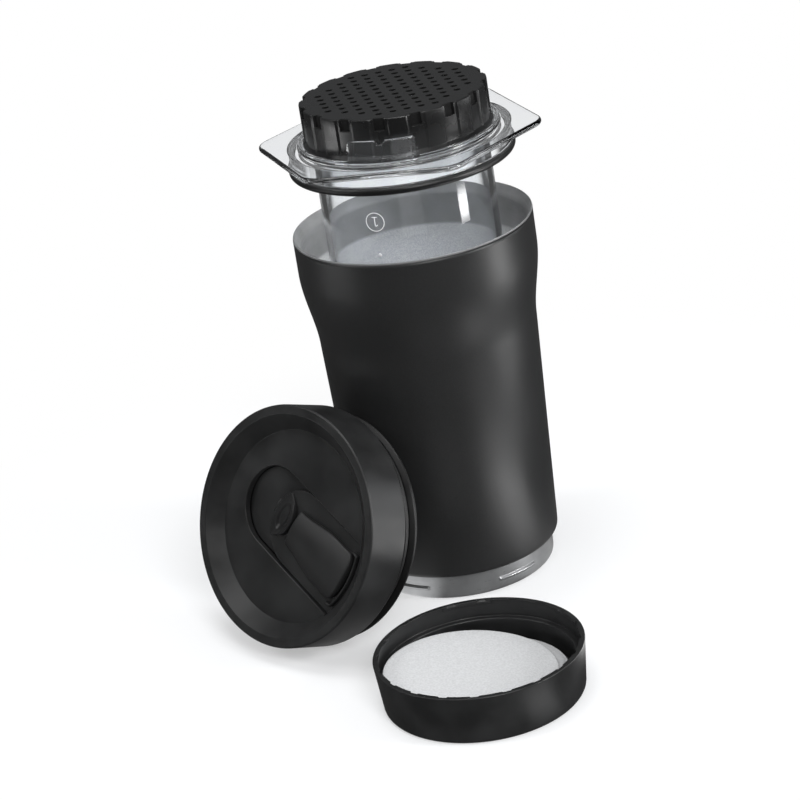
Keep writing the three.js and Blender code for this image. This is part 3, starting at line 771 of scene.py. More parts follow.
@dataclass(frozen=True)
class PrintFinish(Finish):
    """Pad-printed white ink, a little uneven in its cover."""

    tone: float = 0.8
    roughness: float = 0.5
    cover: float = 0.4 * MM
    cover_depth: float = 0.004 * MM
    cover_shares: Pair = (0.93, 1.0)

    def build(self) -> Material:
        """Builds the material."""
        sheet = NodeSheet(self.name)
        cover = sheet.noise(self.cover, 2.0)
        return sheet.paint(Roughness=self.roughness, Normal=sheet.bump(cover, self.cover_depth),
                           Base_Color=sheet.shades(cover, self.tone, self.cover_shares))


def made(finish: Finish) -> Material:
    """Field that holds the material of a finish, built when its owner is made."""
    return field(default_factory=finish.build)


@dataclass
class Finishes:
    """Every finish of the press, built once."""

    coat: Material = made(CoatFinish("matte black coat", 0.014, roughness=0.37))
    # The liner is paler below 127.5 mm: partly a blasted look and partly painted light on its lower inside
    liner: Material = made(
        SteelFinish("satin liner steel", 0.2, 0.5, 0.3, blast_and_light_tone=0.42, blast_and_light_level=127.5 * MM))
    foot: Material = made(SteelFinish("turned foot steel", 0.36, 0.32, 0.85))
    getter: Material = made(SteelFinish("getter metal", 0.2, 0.6))
    clear: Material = made(ClearFinish("clear plastic"))
    # The cap's holes, notches and inner walls below its top face get painted shade
    cap: Material = made(
        MouldedFinish("cap plastic", 0.008, roughness=0.29, grain_depth=0.003 * MM, shade_paint_radius=34.6 * MM,
                      shade_paint_level=195.28 * MM))
    lid: Material = made(MouldedFinish("lid plastic", 0.014, roughness=0.36))
    plug: Material = made(MouldedFinish("grained plug plastic", 0.014, roughness=0.5, grain_depth=0.012 * MM))
    slider: Material = made(MouldedFinish("slider plastic", 0.011, roughness=0.46))
    holder: Material = made(MouldedFinish("holder plastic", 0.014, roughness=0.36))
    grey_shaft: Material = made(MouldedFinish("plunger plastic", 0.09, 0.06, roughness=0.35))
    rubber: Material = made(MouldedFinish("black silicone", 0.005, roughness=0.34, grain_depth=0.002 * MM))
    paper: Material = made(PaperFinish("filter paper", 0.58))
    # Painted shade: the stack and the shifted paper are the same paper at a lower tone, for the shade under
    # the leaning paper
    shade_painted: Material = made(PaperFinish("stacked paper", 0.42))
    ink: Material = made(PrintFinish("white print"))


# Tumbler

@dataclass
class Tumbler:
    """Coated outer shell, steel liner with its lip, and steel foot with twist-lock lugs."""

    rim_radius: float = 46.0 * MM
    height: float = 143.5 * MM
    shell_wall: float = 0.8 * MM
    liner_inset: float = 1.9 * MM
    liner_wall: float = 0.8 * MM
    lip: float = 0.7 * MM
    lip_inset: float = 0.1 * MM
    lip_round: float = 0.2 * MM
    lip_land: float = 0.35 * MM
    bevel_depth: float = 3.6 * MM
    bevel_share: float = 1.2
    corner_steps: int = 12
    waist_radius: float = 42.1 * MM
    waist_depth: float = 44.0 * MM
    shoulder_depth: float = 14.0 * MM
    foot_radius: float = 39.1 * MM
    shell_corner: float = 2.2 * MM
    liner_corner: float = 2.6 * MM
    floor_hole: float = 28.0 * MM
    hem_drop: float = 1.3 * MM
    hem_gap: float = 0.4 * MM
    ring_height: float = 11.5 * MM
    ring_radius: float = 36.2 * MM
    ring_corner: float = 2.4 * MM
    ring_wall: float = 1.0 * MM
    floor_gap: float = 1.2 * MM
    floor_wall: float = 1.0 * MM
    lug_count: int = 5
    lug_sweep: float = TURN * 0.076
    lug_proud: float = 0.7 * MM
    lug_height: float = 1.9 * MM
    lug_rise: float = 3.9 * MM
    lug_turn: float = math.radians(-57)
    lug_flank: float = math.radians(1.6)
    lug_slope_low: float = 0.6 * MM
    lug_slope_high: float = 0.8 * MM
    lug_fillet: float = 0.25 * MM
    lug_round: float = 0.3 * MM
    foot_round: float = 0.2 * MM
    foot_columns: int = 720
    columns: int = 256
    wall_rows: int = 90

    def shell_radius(self, height: np.ndarray) -> np.ndarray:
        """Outside radius: a straight taper to the waist, then a smooth step out to the rim.

        Args:
            height: heights above the base.

        Returns:
            One radius for each height.
        """
        waist = self.height - self.waist_depth
        shoulder = self.height - self.shoulder_depth
        slope = (self.waist_radius - self.foot_radius) / (waist - self.ring_height)
        taper = self.foot_radius + slope * (np.minimum(height, waist) - self.ring_height)
        step = smoothstep((height - waist) / (shoulder - waist))
        return taper + (self.rim_radius - self.waist_radius) * step

    def wall(self, inset: float, low: float, high: float) -> np.ndarray:
        """Radius and height up the wall, moved in by inset."""
        height = np.linspace(low, high, self.wall_rows)
        return np.stack([self.shell_radius(height) - inset, height], -1)

    def corner(self, inset: float, floor: float, radius: float) -> np.ndarray:
        """Quarter circle of a radius from the floor up into the wall, moved in by inset."""
        turn = np.linspace(-math.pi / 2, 0, self.corner_steps)
        middle = self.foot_radius - inset - radius
        return np.array([middle, floor + radius]) + radius * circle(turn)

    def shell(self) -> Shell:
        """Outer wall, from the hole in its floor, round its hem, up to the lip and back down its inside."""
        floor = self.ring_height
        hem = floor - self.hem_drop
        step = self.ring_radius + self.hem_gap
        low = floor + self.shell_corner * 2
        top = self.height - self.lip
        outside = np.concatenate([
            [[self.floor_hole, floor], [step, floor], [step, hem]],
            self.corner(0, hem, self.shell_corner),
            self.wall(0, low, top),
        ])
        inner_floor = floor + self.shell_wall
        inside = np.concatenate([
            [[self.floor_hole, inner_floor]],
            self.corner(self.shell_wall, inner_floor, self.shell_corner - self.shell_wall),
            self.wall(self.shell_wall, low, top),
        ])
        return turned_shell(np.concatenate([outside, inside[::-1]]), even_angles(self.columns))

    def liner(self) -> Shell:
        """Inner wall: floor, corner, wall and the rolled lip that covers the shell's edge."""
        under = self.ring_height + self.shell_wall + self.floor_gap
        floor = under + self.floor_wall
        low = under + self.liner_corner * 2
        top = self.height - self.lip
        bevel_foot = self.height - self.bevel_depth
        inner = self.liner_inset + self.liner_wall
        lip_radius = self.rim_radius - self.lip_inset
        flare = self.rim_radius - self.shell_wall - self.lip_inset
        lip = rounded([
            (self.rim_radius - self.liner_inset, bevel_foot, self.bevel_depth / 2),
            (flare, top, 0),
            (lip_radius, top, 0),
            (lip_radius, self.height, self.lip_round),
            (lip_radius - self.lip_land, self.height, self.lip_round),
            (self.rim_radius - inner, bevel_foot, self.bevel_depth),
            (self.rim_radius - inner, bevel_foot - self.bevel_depth, 0),
        ])
        profile = np.concatenate([
            [[0, under]],
            self.corner(self.liner_inset, under, self.liner_corner),
            self.wall(self.liner_inset, low, bevel_foot - self.bevel_depth),
            lip,
            self.wall(inner, low, bevel_foot - self.bevel_depth * self.bevel_share)[::-1],
            self.corner(inner, floor, self.liner_corner - self.liner_wall)[::-1],
            [[0, floor]],
        ])
        return turned_shell(profile, even_angles(self.columns), closed=False)

    def foot(self) -> Shell:
        """Steel cup under the shell, with lugs pressed out of its wall at five places."""
        inner = self.ring_radius - self.ring_wall
        low, high = self.lug_rise, self.lug_rise + self.lug_height

        def profile(proud: float) -> np.ndarray:
            """The cup's profile with its lug band moved out."""
            out = self.ring_radius + proud
            return rounded([
                (0, 0, 0),
                (self.ring_radius, 0, self.ring_corner),
                (self.ring_radius, low, self.lug_fillet),
                (out, low + self.lug_slope_low, self.lug_round),
                (out, high - self.lug_slope_high, self.lug_round),
                (self.ring_radius, high, self.lug_fillet),
                (self.ring_radius, self.ring_height, self.foot_round),
                (inner, self.ring_height, self.foot_round),
                (inner, self.ring_wall, self.ring_corner - self.ring_wall),
                (0, self.ring_wall, 0),
            ])

        angles = even_angles(self.foot_columns)
        weight = repeated_weight(angles, self.lug_count, self.lug_turn, self.lug_sweep, self.lug_flank)
        return blended_shell(profile(0), [(profile(self.lug_proud), weight)], angles, closed=False)

    def build(self, finishes: Finishes) -> None:
        """Makes the tumbler's pieces."""
        make_piece("coated_shell", [self.shell()], Body.TUMBLER, finishes.coat, ["outer_shell"])
        make_piece("steel_liner", [self.liner()], Body.TUMBLER, finishes.liner, ["inner_liner"])
        make_piece("steel_foot", [self.foot()], Body.TUMBLER, finishes.foot, ["base_cup"])
        dress_node("vacuum_getter", finishes.getter)


# Press chamber

@dataclass
class PressChamber:
    """Clear moulding: tube, neck, rounded hexagon flange, sealing skirt, collar, tab and neck lugs."""

    flange_low: float = 176.8 * MM
    flange_thickness: float = 2.2 * MM
    below_flange: float = 82.0 * MM
    bore: float = 31.0 * MM
    tube_radius: float = 33.3 * MM
    neck_radius: float = 32.4 * MM
    neck_height: float = 12.5 * MM
    apothem: float = 48.0 * MM
    corner: float = 9.0 * MM
    turn: float = math.radians(-12)
    edge: float = 1.0 * MM
    skirt_radius: float = 42.2 * MM
    skirt_inner: float = 38.3 * MM
    skirt_depth: float = 8.6 * MM
    seal_section: float = 3.1 * MM
    seal_rise: float = 0.2 * MM
    seal_proud: float = 0.9 * MM
    groove_gap: float = 0.1 * MM
    collar_radius: float = 38.2 * MM
    collar_wall: float = 1.0 * MM
    collar_height: float = 1.6 * MM
    tab_height: float = 9.0 * MM
    tab_wall: float = 1.4 * MM
    tab_proud: float = 0.3 * MM
    tab_sweep: float = TURN * 0.111
    tab_turn: float = math.radians(258)
    dent_sweep: float = math.radians(3.6)
    dent_depth: float = 1.5 * MM
    lug_count: int = 4
    lug_sweep: float = TURN * 0.083
    lug_proud: float = 1.0 * MM
    lug_height: float = 1.8 * MM
    lug_rise: float = 5.2 * MM
    small: float = 0.4 * MM
    flank: float = math.radians(2.2)
    dent_flank: float = math.radians(1.6)
    columns: int = 504
    seal_columns: int = 256
    seal_steps: int = 24
    ink_steps: int = 48
    mark_turn: float = math.radians(245)
    mark_radius: float = 3.7 * MM
    mark_line: float = 0.27 * MM
    stroke_share: float = 0.62
    stroke_round: float = 0.3
    stroke_hold: float = 0.02
    stroke_crown: float = 0.05
    dot_share: float = 0.2
    mark_pitch: float = 26.0 * MM
    mark_top: float = 155.25 * MM
    ink_depth: float = 0.06 * MM
    digits: tuple[tuple[tuple[Pair, ...], ...], ...] = (
        (((-0.26, 0.3), (0.02, 0.5), (0.02, -0.5)), ((-0.26, -0.5), (0.3, -0.5))),
        (((-0.3, 0.26), (-0.24, 0.5), (0.28, 0.5), (0.3, 0.1), (-0.3, -0.5), (0.34, -0.5)),),
        (((-0.3, 0.5), (0.3, 0.5), (0.3, 0.04), (-0.05, 0.02)),
         ((-0.05, 0.02), (0.32, 0), (0.3, -0.5), (-0.32, -0.5))),
    )

    @property
    def flange_top(self) -> float:
        """Height of the flange's top."""
        return self.flange_low + self.flange_thickness

    def hexagon_radius(self, angles: np.ndarray) -> np.ndarray:
        """Distance from the axis to a hexagon with round corners.

        On a straight side it is the apothem over the cosine of the turn from that side's middle. On a corner
        the ray meets the corner's circle at the farther root of its quadratic.
        """
        step = TURN / 6
        reach = (self.apothem - self.corner) / math.cos(step / 2)
        off_corner = (angles - self.turn + step / 2) % step - step / 2
        off_side = np.abs(off_corner) - step / 2
        straight = self.apothem / np.cos(off_side)
        inside = np.maximum(self.corner ** 2 - (reach * np.sin(off_corner)) ** 2, 0)
        round_part = reach * np.cos(off_corner) + np.sqrt(inside)
        limit = math.atan2(self.corner * math.sin(step / 2), reach + self.corner * math.cos(step / 2))
        return np.where(np.abs(off_corner) < limit, round_part, straight)

    def profile(self, rim_shift: float = 0, tab: bool = False, dent: bool = False,
                lug: bool = False) -> np.ndarray:
        """Section of the whole moulding, from the tube's open end up its bore and back down its outside.

        Args:
            rim_shift: how far the flange's rim is moved out from the hexagon's apothem.
            tab: whether the collar rises into the front tab.
            dent: whether the tab is lower here, by the dent.
            lug: whether the neck carries a lug.

        Returns:
            Points of radius and height.
        """
        end = self.flange_top - self.below_flange
        top = self.flange_top
        neck_top = top + self.neck_height
        collar_in = self.collar_radius - (self.tab_wall if tab else self.collar_wall)
        collar_out = self.collar_radius + (self.tab_proud if tab else 0)
        collar_top = top + (self.tab_height if tab else self.collar_height) - (self.dent_depth if dent else 0)
        lug_radius = self.neck_radius + (self.lug_proud if lug else 0)
        lug_low = top + self.lug_rise
        lug_high = lug_low + self.lug_height
        rim = self.apothem + rim_shift
        skirt_low = self.flange_low - self.skirt_depth
        groove_high = skirt_low + self.seal_rise + self.seal_section + self.groove_gap
        groove = self.skirt_radius + self.seal_proud - self.seal_section - self.groove_gap
        small = self.small
        return rounded([
            (self.bore, end, small),
            (self.bore, neck_top, small),
            (self.neck_radius, neck_top, small),
            (self.neck_radius, lug_high, small / 2),
            (lug_radius, lug_high - small, small / 2),
            (lug_radius, lug_low, small / 2),
            (self.neck_radius, lug_low, small / 2),
            (self.neck_radius, top, small * 2),
            (collar_in, top, small),
            (collar_in, collar_top, small),
            (collar_out, collar_top, small),
            (collar_out, top, small * 1.5),
            (rim, top, self.edge),
            (rim, self.flange_low, self.edge),
            (self.skirt_radius, self.flange_low, small),
            (self.skirt_radius, groove_high, small / 2),
            (groove, groove_high, small / 2),
            (groove, skirt_low, small / 2),
            (self.skirt_inner, skirt_low, small / 2),
            (self.skirt_inner, self.flange_low, small * 2),
            (self.tube_radius, self.flange_low, small * 2),
            (self.tube_radius, end, small * 2),
        ], closed=True, steps=4)

    def moulding(self) -> Shell:
        """The clear moulding as one closed surface."""
        angles = even_angles(self.columns)
        base = self.profile()
        rim_weight = (self.hexagon_radius(angles) - self.apothem) / MM
        tab_weight = sector_weight(angles, self.tab_turn, self.tab_sweep, self.flank)
        dent_weight = sector_weight(angles, self.tab_turn, self.dent_sweep, self.dent_flank)
        lug_weight = repeated_weight(angles, self.lug_count, self.turn, self.lug_sweep, self.flank)
        variants = [
            (self.profile(rim_shift=MM), rim_weight),
            (self.profile(tab=True), tab_weight * (1 - dent_weight)),
            (self.profile(tab=True, dent=True), tab_weight * dent_weight),
            (self.profile(lug=True), lug_weight),
        ]
        return blended_shell(base, variants, angles)

    def seal_ring(self) -> Shell:
        """Round ring in the skirt's groove: a circle carried round the axis."""
        radius = self.seal_section / 2
        middle = self.skirt_radius + self.seal_proud - radius
        level = self.flange_low - self.skirt_depth + self.seal_rise + radius
        profile = np.array([middle, level]) + radius * circle(even_angles(self.seal_steps))
        return turned_shell(profile, even_angles(self.seal_columns))

    def wrapped(self, across: np.ndarray, up: np.ndarray, depth: np.ndarray) -> np.ndarray:
        """Lays flat points on the tube: across becomes a turn round it, depth stands off it."""
        radius = self.tube_radius + depth
        return raised(radius[..., None] * circle(self.mark_turn + across / self.tube_radius), up)

    def ink_ring(self, level: float, inner: float, outer: float) -> Shell:
        """Flat ring or dot of ink on the tube, closed, around a mark's centre.

        Args:
            level: the height of the mark's centre.
            inner: the ring's inner radius, which is 0 for a dot.
            outer: its outer radius.

        Returns:
            The ink as a thin closed shell.
        """
        turn = even_angles(self.ink_steps)
        radius = np.array([inner, outer, outer, inner])[:, None]
        depth = np.array([0, 0, 1, 1])[:, None] * self.ink_depth
        across = radius * np.cos(turn)[None]
        up = level + radius * np.sin(turn)[None]
        points = self.wrapped(across, up, np.broadcast_to(depth, across.shape))
        return grid_shell(points, wrap_rows=inner > 0)

    def ink_stroke(self, points: Sequence[Pair], level: float) -> Shell:
        """One pen stroke on the tube, upside down: it is read when the chamber is turned over.

        Args:
            points: places along the stroke, in shares of the mark's radius, with the digit upright.
            level: the height of the mark's centre.

        Returns:
            The stroke as a thin closed shell.
        """
        corners = [(x, y, self.stroke_round) for x, y in points]
        path = rounded(corners, steps=8, hold=self.stroke_hold) * self.mark_radius
        half = self.mark_line * self.stroke_share
        flat, quads = swept_ridge(path, half, 0.0, self.ink_depth, self.stroke_crown)
        return self.wrapped(-flat[:, 0], level - flat[:, 1], flat[:, 2]), quads

    def marks(self) -> list[Shell]:
        """Ringed numbers down the tube, with a dot half way between one and the next."""
        shells: list[Shell] = []
        for number, strokes in enumerate(self.digits, 1):
            level = self.mark_top - (number - 1) * self.mark_pitch
            shells.append(self.ink_ring(level, self.mark_radius - self.mark_line, self.mark_radius))
            shells.extend(self.ink_stroke(stroke, level) for stroke in strokes)
            if number < len(self.digits):
                dot = self.mark_radius * self.dot_share
                shells.append(self.ink_ring(level - self.mark_pitch / 2, 0, dot))
        return shells

    def build(self, finishes: Finishes) -> None:
        """Makes the chamber's pieces."""
        moulding = make_piece(
            "clear_chamber", [self.moulding()], Body.CHAMBER, finishes.clear, ["chamber"])
        moulding.visible_shadow = False
        make_piece("sealing_ring", [self.seal_ring()], Body.CHAMBER, finishes.rubber,
                   ["chamber_seal_ring"])
        make_piece("level_marks", self.marks(), Body.CHAMBER, finishes.ink)


# Filter cap

@dataclass
class FilterCap:
    """Round cap with a plate full of holes, and a side with flutes that end in notches at the top."""

    top: float = 195.3 * MM
    bottom: float = 179.2 * MM
    radius: float = 35.5 * MM
    wall: float = 1.7 * MM
    plate: float = 2.3 * MM
    foot_radius: float = 36.2 * MM
    foot_height: float = 1.2 * MM
    chamfer: float = 0.5 * MM
    notch_count: int = 16
    notch_width: float = 4.2 * MM
    notch_height: float = 4.6 * MM
    notch_depth: float = 1.55 * MM
    flute_width: float = 6.6 * MM
    flute_depth: float = 0.5 * MM
    flute_flank: float = 0.45 * MM
    notch_turn: float = math.radians(-12)
    notch_edge: float = 0.06 * MM
    between: int = 12
    small: float = 0.2 * MM
    sharp: float = math.radians(38)
    hole_radius: float = 1.3 * MM
    hole_edge: float = 0.12 * MM
    hole_sides: int = 24
    hole_pitch: float = 5.33 * MM
    hole_reach: int = 5
    hole_corner_sum: int = 7
    hole_turn: float = math.radians(8.5)

    def columns(self) -> np.ndarray:
        """Angles of the columns: close together at the edges of each notch and flute, and even elsewhere."""
        pitch = TURN / self.notch_count
        edge, flank = self.notch_edge, self.flute_flank
        near_notch = self.notch_width / 2 + edge * np.array([-3, -1, 1, 3])
        near_flute = self.flute_width / 2 + np.array([-flank - edge, -flank, flank, flank + edge])
        near = np.concatenate([near_notch, near_flute]) / self.radius
        even = np.linspace(-pitch / 2, pitch / 2, self.between + 1)[:-1]
        one = np.unique(np.concatenate([-near, near, even]))
        turns = [self.notch_turn + k * pitch + one for k in range(self.notch_count)]
        return np.concatenate(turns)

    def side_weights(self, angles: np.ndarray) -> tuple[np.ndarray, np.ndarray]:
        """How far each column is inside a notch and inside a flute.

        Args:
            angles: the angles of the columns.

        Returns:
            The weights of the notches and those of the flutes, from 0 to 1.
        """
        pitch = TURN / self.notch_count
        off = np.abs((angles - self.notch_turn + pitch / 2) % pitch - pitch / 2) * self.radius
        half_notch, half_flute = self.notch_width / 2, self.flute_width / 2
        notch = 1 - ramp(off, half_notch - self.notch_edge, half_notch + self.notch_edge)
        flute = 1 - ramp(off, half_flute - self.flute_flank, half_flute + self.flute_flank)
        return notch, flute

    def profile(self, notch: bool = False, flute: bool = False) -> np.ndarray:
        """Section of the side: the plate's rim, down the outside, and up the inside to under the plate.

        Args:
            notch: whether it is cut by a notch at the top.
            flute: whether it is sunk by a flute.

        Returns:
            Points of radius and height.
        """
        out = self.radius - (self.flute_depth if flute else 0)
        high = self.radius - self.notch_depth if notch else out
        ledge = self.top - self.notch_height
        inner = self.radius - self.wall
        small = self.small
        return rounded([
            (high - self.chamfer * 2, self.top, 0),
            (high, self.top, self.chamfer),
            (high, ledge + small, small / 2),
            (out, ledge, small / 2),
            (out, self.bottom + self.foot_height * 2, small * 2),
            (self.foot_radius, self.bottom + self.foot_height, small),
            (self.foot_radius, self.bottom, small),
            (inner, self.bottom, small),
            (inner, self.top - self.plate, 0),
        ], steps=3)

    def side(self) -> tuple[Shell, np.ndarray, np.ndarray]:
        """The side's surface, with its top and bottom rows of points."""
        angles = self.columns()
        notch, flute = self.side_weights(angles)
        variants = [
            (self.profile(flute=True), flute * (1 - notch)),
            (self.profile(notch=True, flute=True), notch),
        ]
        points, quads = blended_shell(self.profile(), variants, angles, closed=False)
        grid = points.reshape(-1, len(angles), 3)
        return (points, quads), grid[0], grid[-1]

    def hole_centres(self) -> np.ndarray:
        """Square grid of hole centres with its corners left out, turned about the axis."""
        steps = np.arange(-self.hole_reach, self.hole_reach + 1)
        across, along = np.meshgrid(steps, steps)
        kept = np.abs(across) + np.abs(along) <= self.hole_corner_sum
        flat = np.stack([across[kept], along[kept]], -1) * self.hole_pitch
        cos, sin = math.cos(self.hole_turn), math.sin(self.hole_turn)
        return flat @ np.array([[cos, sin], [-sin, cos]])

    def plate_face(self, boundary: np.ndarray, level: float, hole: float) -> Shell:
        """Flat face inside a boundary with round holes, triangulated.

        Args:
            boundary: the outer points, in order.
            level: the face's height.
            hole: the radius of the holes.

        Returns:
            The face as an open shell.
        """
        centres = self.hole_centres()
        rings = (centres[:, None, :] + hole * circle(even_angles(self.hole_sides))).reshape(-1, 2)
        points = np.concatenate([boundary[:, :2], rings])
        outer = np.arange(len(boundary))
        edges = [np.stack([outer, np.roll(outer, -1)], -1)]
        inner = np.arange(len(rings)).reshape(-1, self.hole_sides) + len(boundary)
        edges.append(np.stack([inner, np.roll(inner, -1, 1)], -1).reshape(-1, 2))
        sides = np.concatenate(edges).tolist()
        result = delaunay_2d_cdt([Vector(p) for p in points], sides, [], 1, MERGE * MM)
        flat = np.array([tuple(p) for p in result[0]])
        faces = np.array([f for f in result[2] if len(f) == 3])
        middle = flat[faces].mean(1)
        gap = np.linalg.norm(middle[:, None, :] - centres[None], axis=2).min(1)
        apothem = hole * math.cos(math.pi / self.hole_sides)
        solid = gap > apothem * 0.999
        return raised(flat, level), faces[solid]

    def hole_walls(self) -> Shell:
        """Walls of all the holes: a small chamfer, the bore and a small chamfer."""
        centres = self.hole_centres()
        wide, narrow = self.hole_radius + self.hole_edge, self.hole_radius
        low = self.top - self.plate
        radius = np.array([wide, narrow, narrow, wide])
        level = np.array([self.top, self.top - self.hole_edge, low + self.hole_edge, low])
        rings = radius[:, None, None] * circle(even_angles(self.hole_sides))
        points = raised(centres[:, None, None, :] + rings, level[:, None])
        block, quads = grid_shell(points[0])
        offsets = np.arange(len(centres))[:, None, None] * len(block)
        return points.reshape(-1, 3), (quads[None] + offsets).reshape(-1, 4)

    def build(self, finishes: Finishes) -> None:
        """Makes the cap."""
        side, top_row, bottom_row = self.side()
        wide = self.hole_radius + self.hole_edge
        shells = [
            side,
            self.hole_walls(),
            self.plate_face(top_row, self.top, wide),
            self.plate_face(bottom_row, self.top - self.plate, wide),
        ]
        cap = make_piece("perforated_cap", shells, Body.CAP, finishes.cap, ["filter_cap"])
        keep_sharp(cap, self.sharp)


# Plunger

@dataclass
class Plunger:
    """Hollow piston shaft with its hand flange, and the rubber seal on its head."""

    bottom: float = 14.7 * MM
    top: float = 110.5 * MM
    radius: float = 28.4 * MM
    wall: float = 2.2 * MM
    flange_radius: float = 31.4 * MM
    flange: float = 3.0 * MM
    seal_height: float = 11.0 * MM
    seal_face: float = 2.4 * MM
    seal_outer: float = 30.85 * MM
    seal_waist: float = 1.3 * MM
    seal_lip: float = 2.6 * MM
    head_radius: float = 24.0 * MM
    clearance: float = 0.1 * MM
    tube_round: float = 0.5 * MM
    seal_round: float = 0.8 * MM
    columns: int = 192

    def tube(self) -> Shell:
        """The shaft, closed at its head and open at its flange."""
        seal_low = self.top - self.seal_height
        head_top = self.top - self.seal_face - self.clearance
        inner = self.radius - self.wall
        head_inner = self.head_radius - self.wall
        small = self.tube_round
        return turned_shell(rounded([
            (0, head_top - self.wall, 0),
            (head_inner, head_top - self.wall, small),
            (head_inner, seal_low - self.wall, small),
            (inner, seal_low - self.wall * 2, small),
            (inner, self.bottom, small),
            (self.flange_radius, self.bottom, small * 2),
            (self.flange_radius, self.bottom + self.flange, small * 2),
            (self.radius, self.bottom + self.flange, small * 2),
            (self.radius, seal_low - self.clearance, small),
            (self.head_radius, seal_low - self.clearance, small),
            (self.head_radius, head_top, small),
            (0, head_top, 0),
        ]), even_angles(self.columns), closed=False)

    def seal(self) -> Shell:
        """The seal: two round lips with a waist between them, over the head."""
        low = self.top - self.seal_height
        inner = self.head_radius + self.clearance
        waist = self.seal_outer - self.seal_waist
        small = self.seal_round
        return turned_shell(rounded([
            (0, self.top - self.seal_face, 0),
            (inner, self.top - self.seal_face, small / 2),
            (inner, low, small / 2),
            (waist, low, small / 2),
            (self.seal_outer, low + self.seal_lip / 2, small),
            (waist, low + self.seal_lip, small),
            (waist, self.top - self.seal_lip * 2, small),
            (self.seal_outer, self.top - self.seal_lip, small),
            (waist, self.top - self.seal_face / 2, small),
            (waist - self.seal_lip, self.top, small),
            (0, self.top, 0),
        ]), even_angles(self.columns), closed=False)

    def build(self, finishes: Finishes) -> None:
        """Makes the plunger's pieces."""
        make_piece("piston_shaft", [self.tube()], Body.PLUNGER, finishes.grey_shaft,
                   ["plunger_tube"])
        make_piece("piston_seal", [self.seal()], Body.PLUNGER, finishes.rubber, ["plunger_seal"])


# Lid

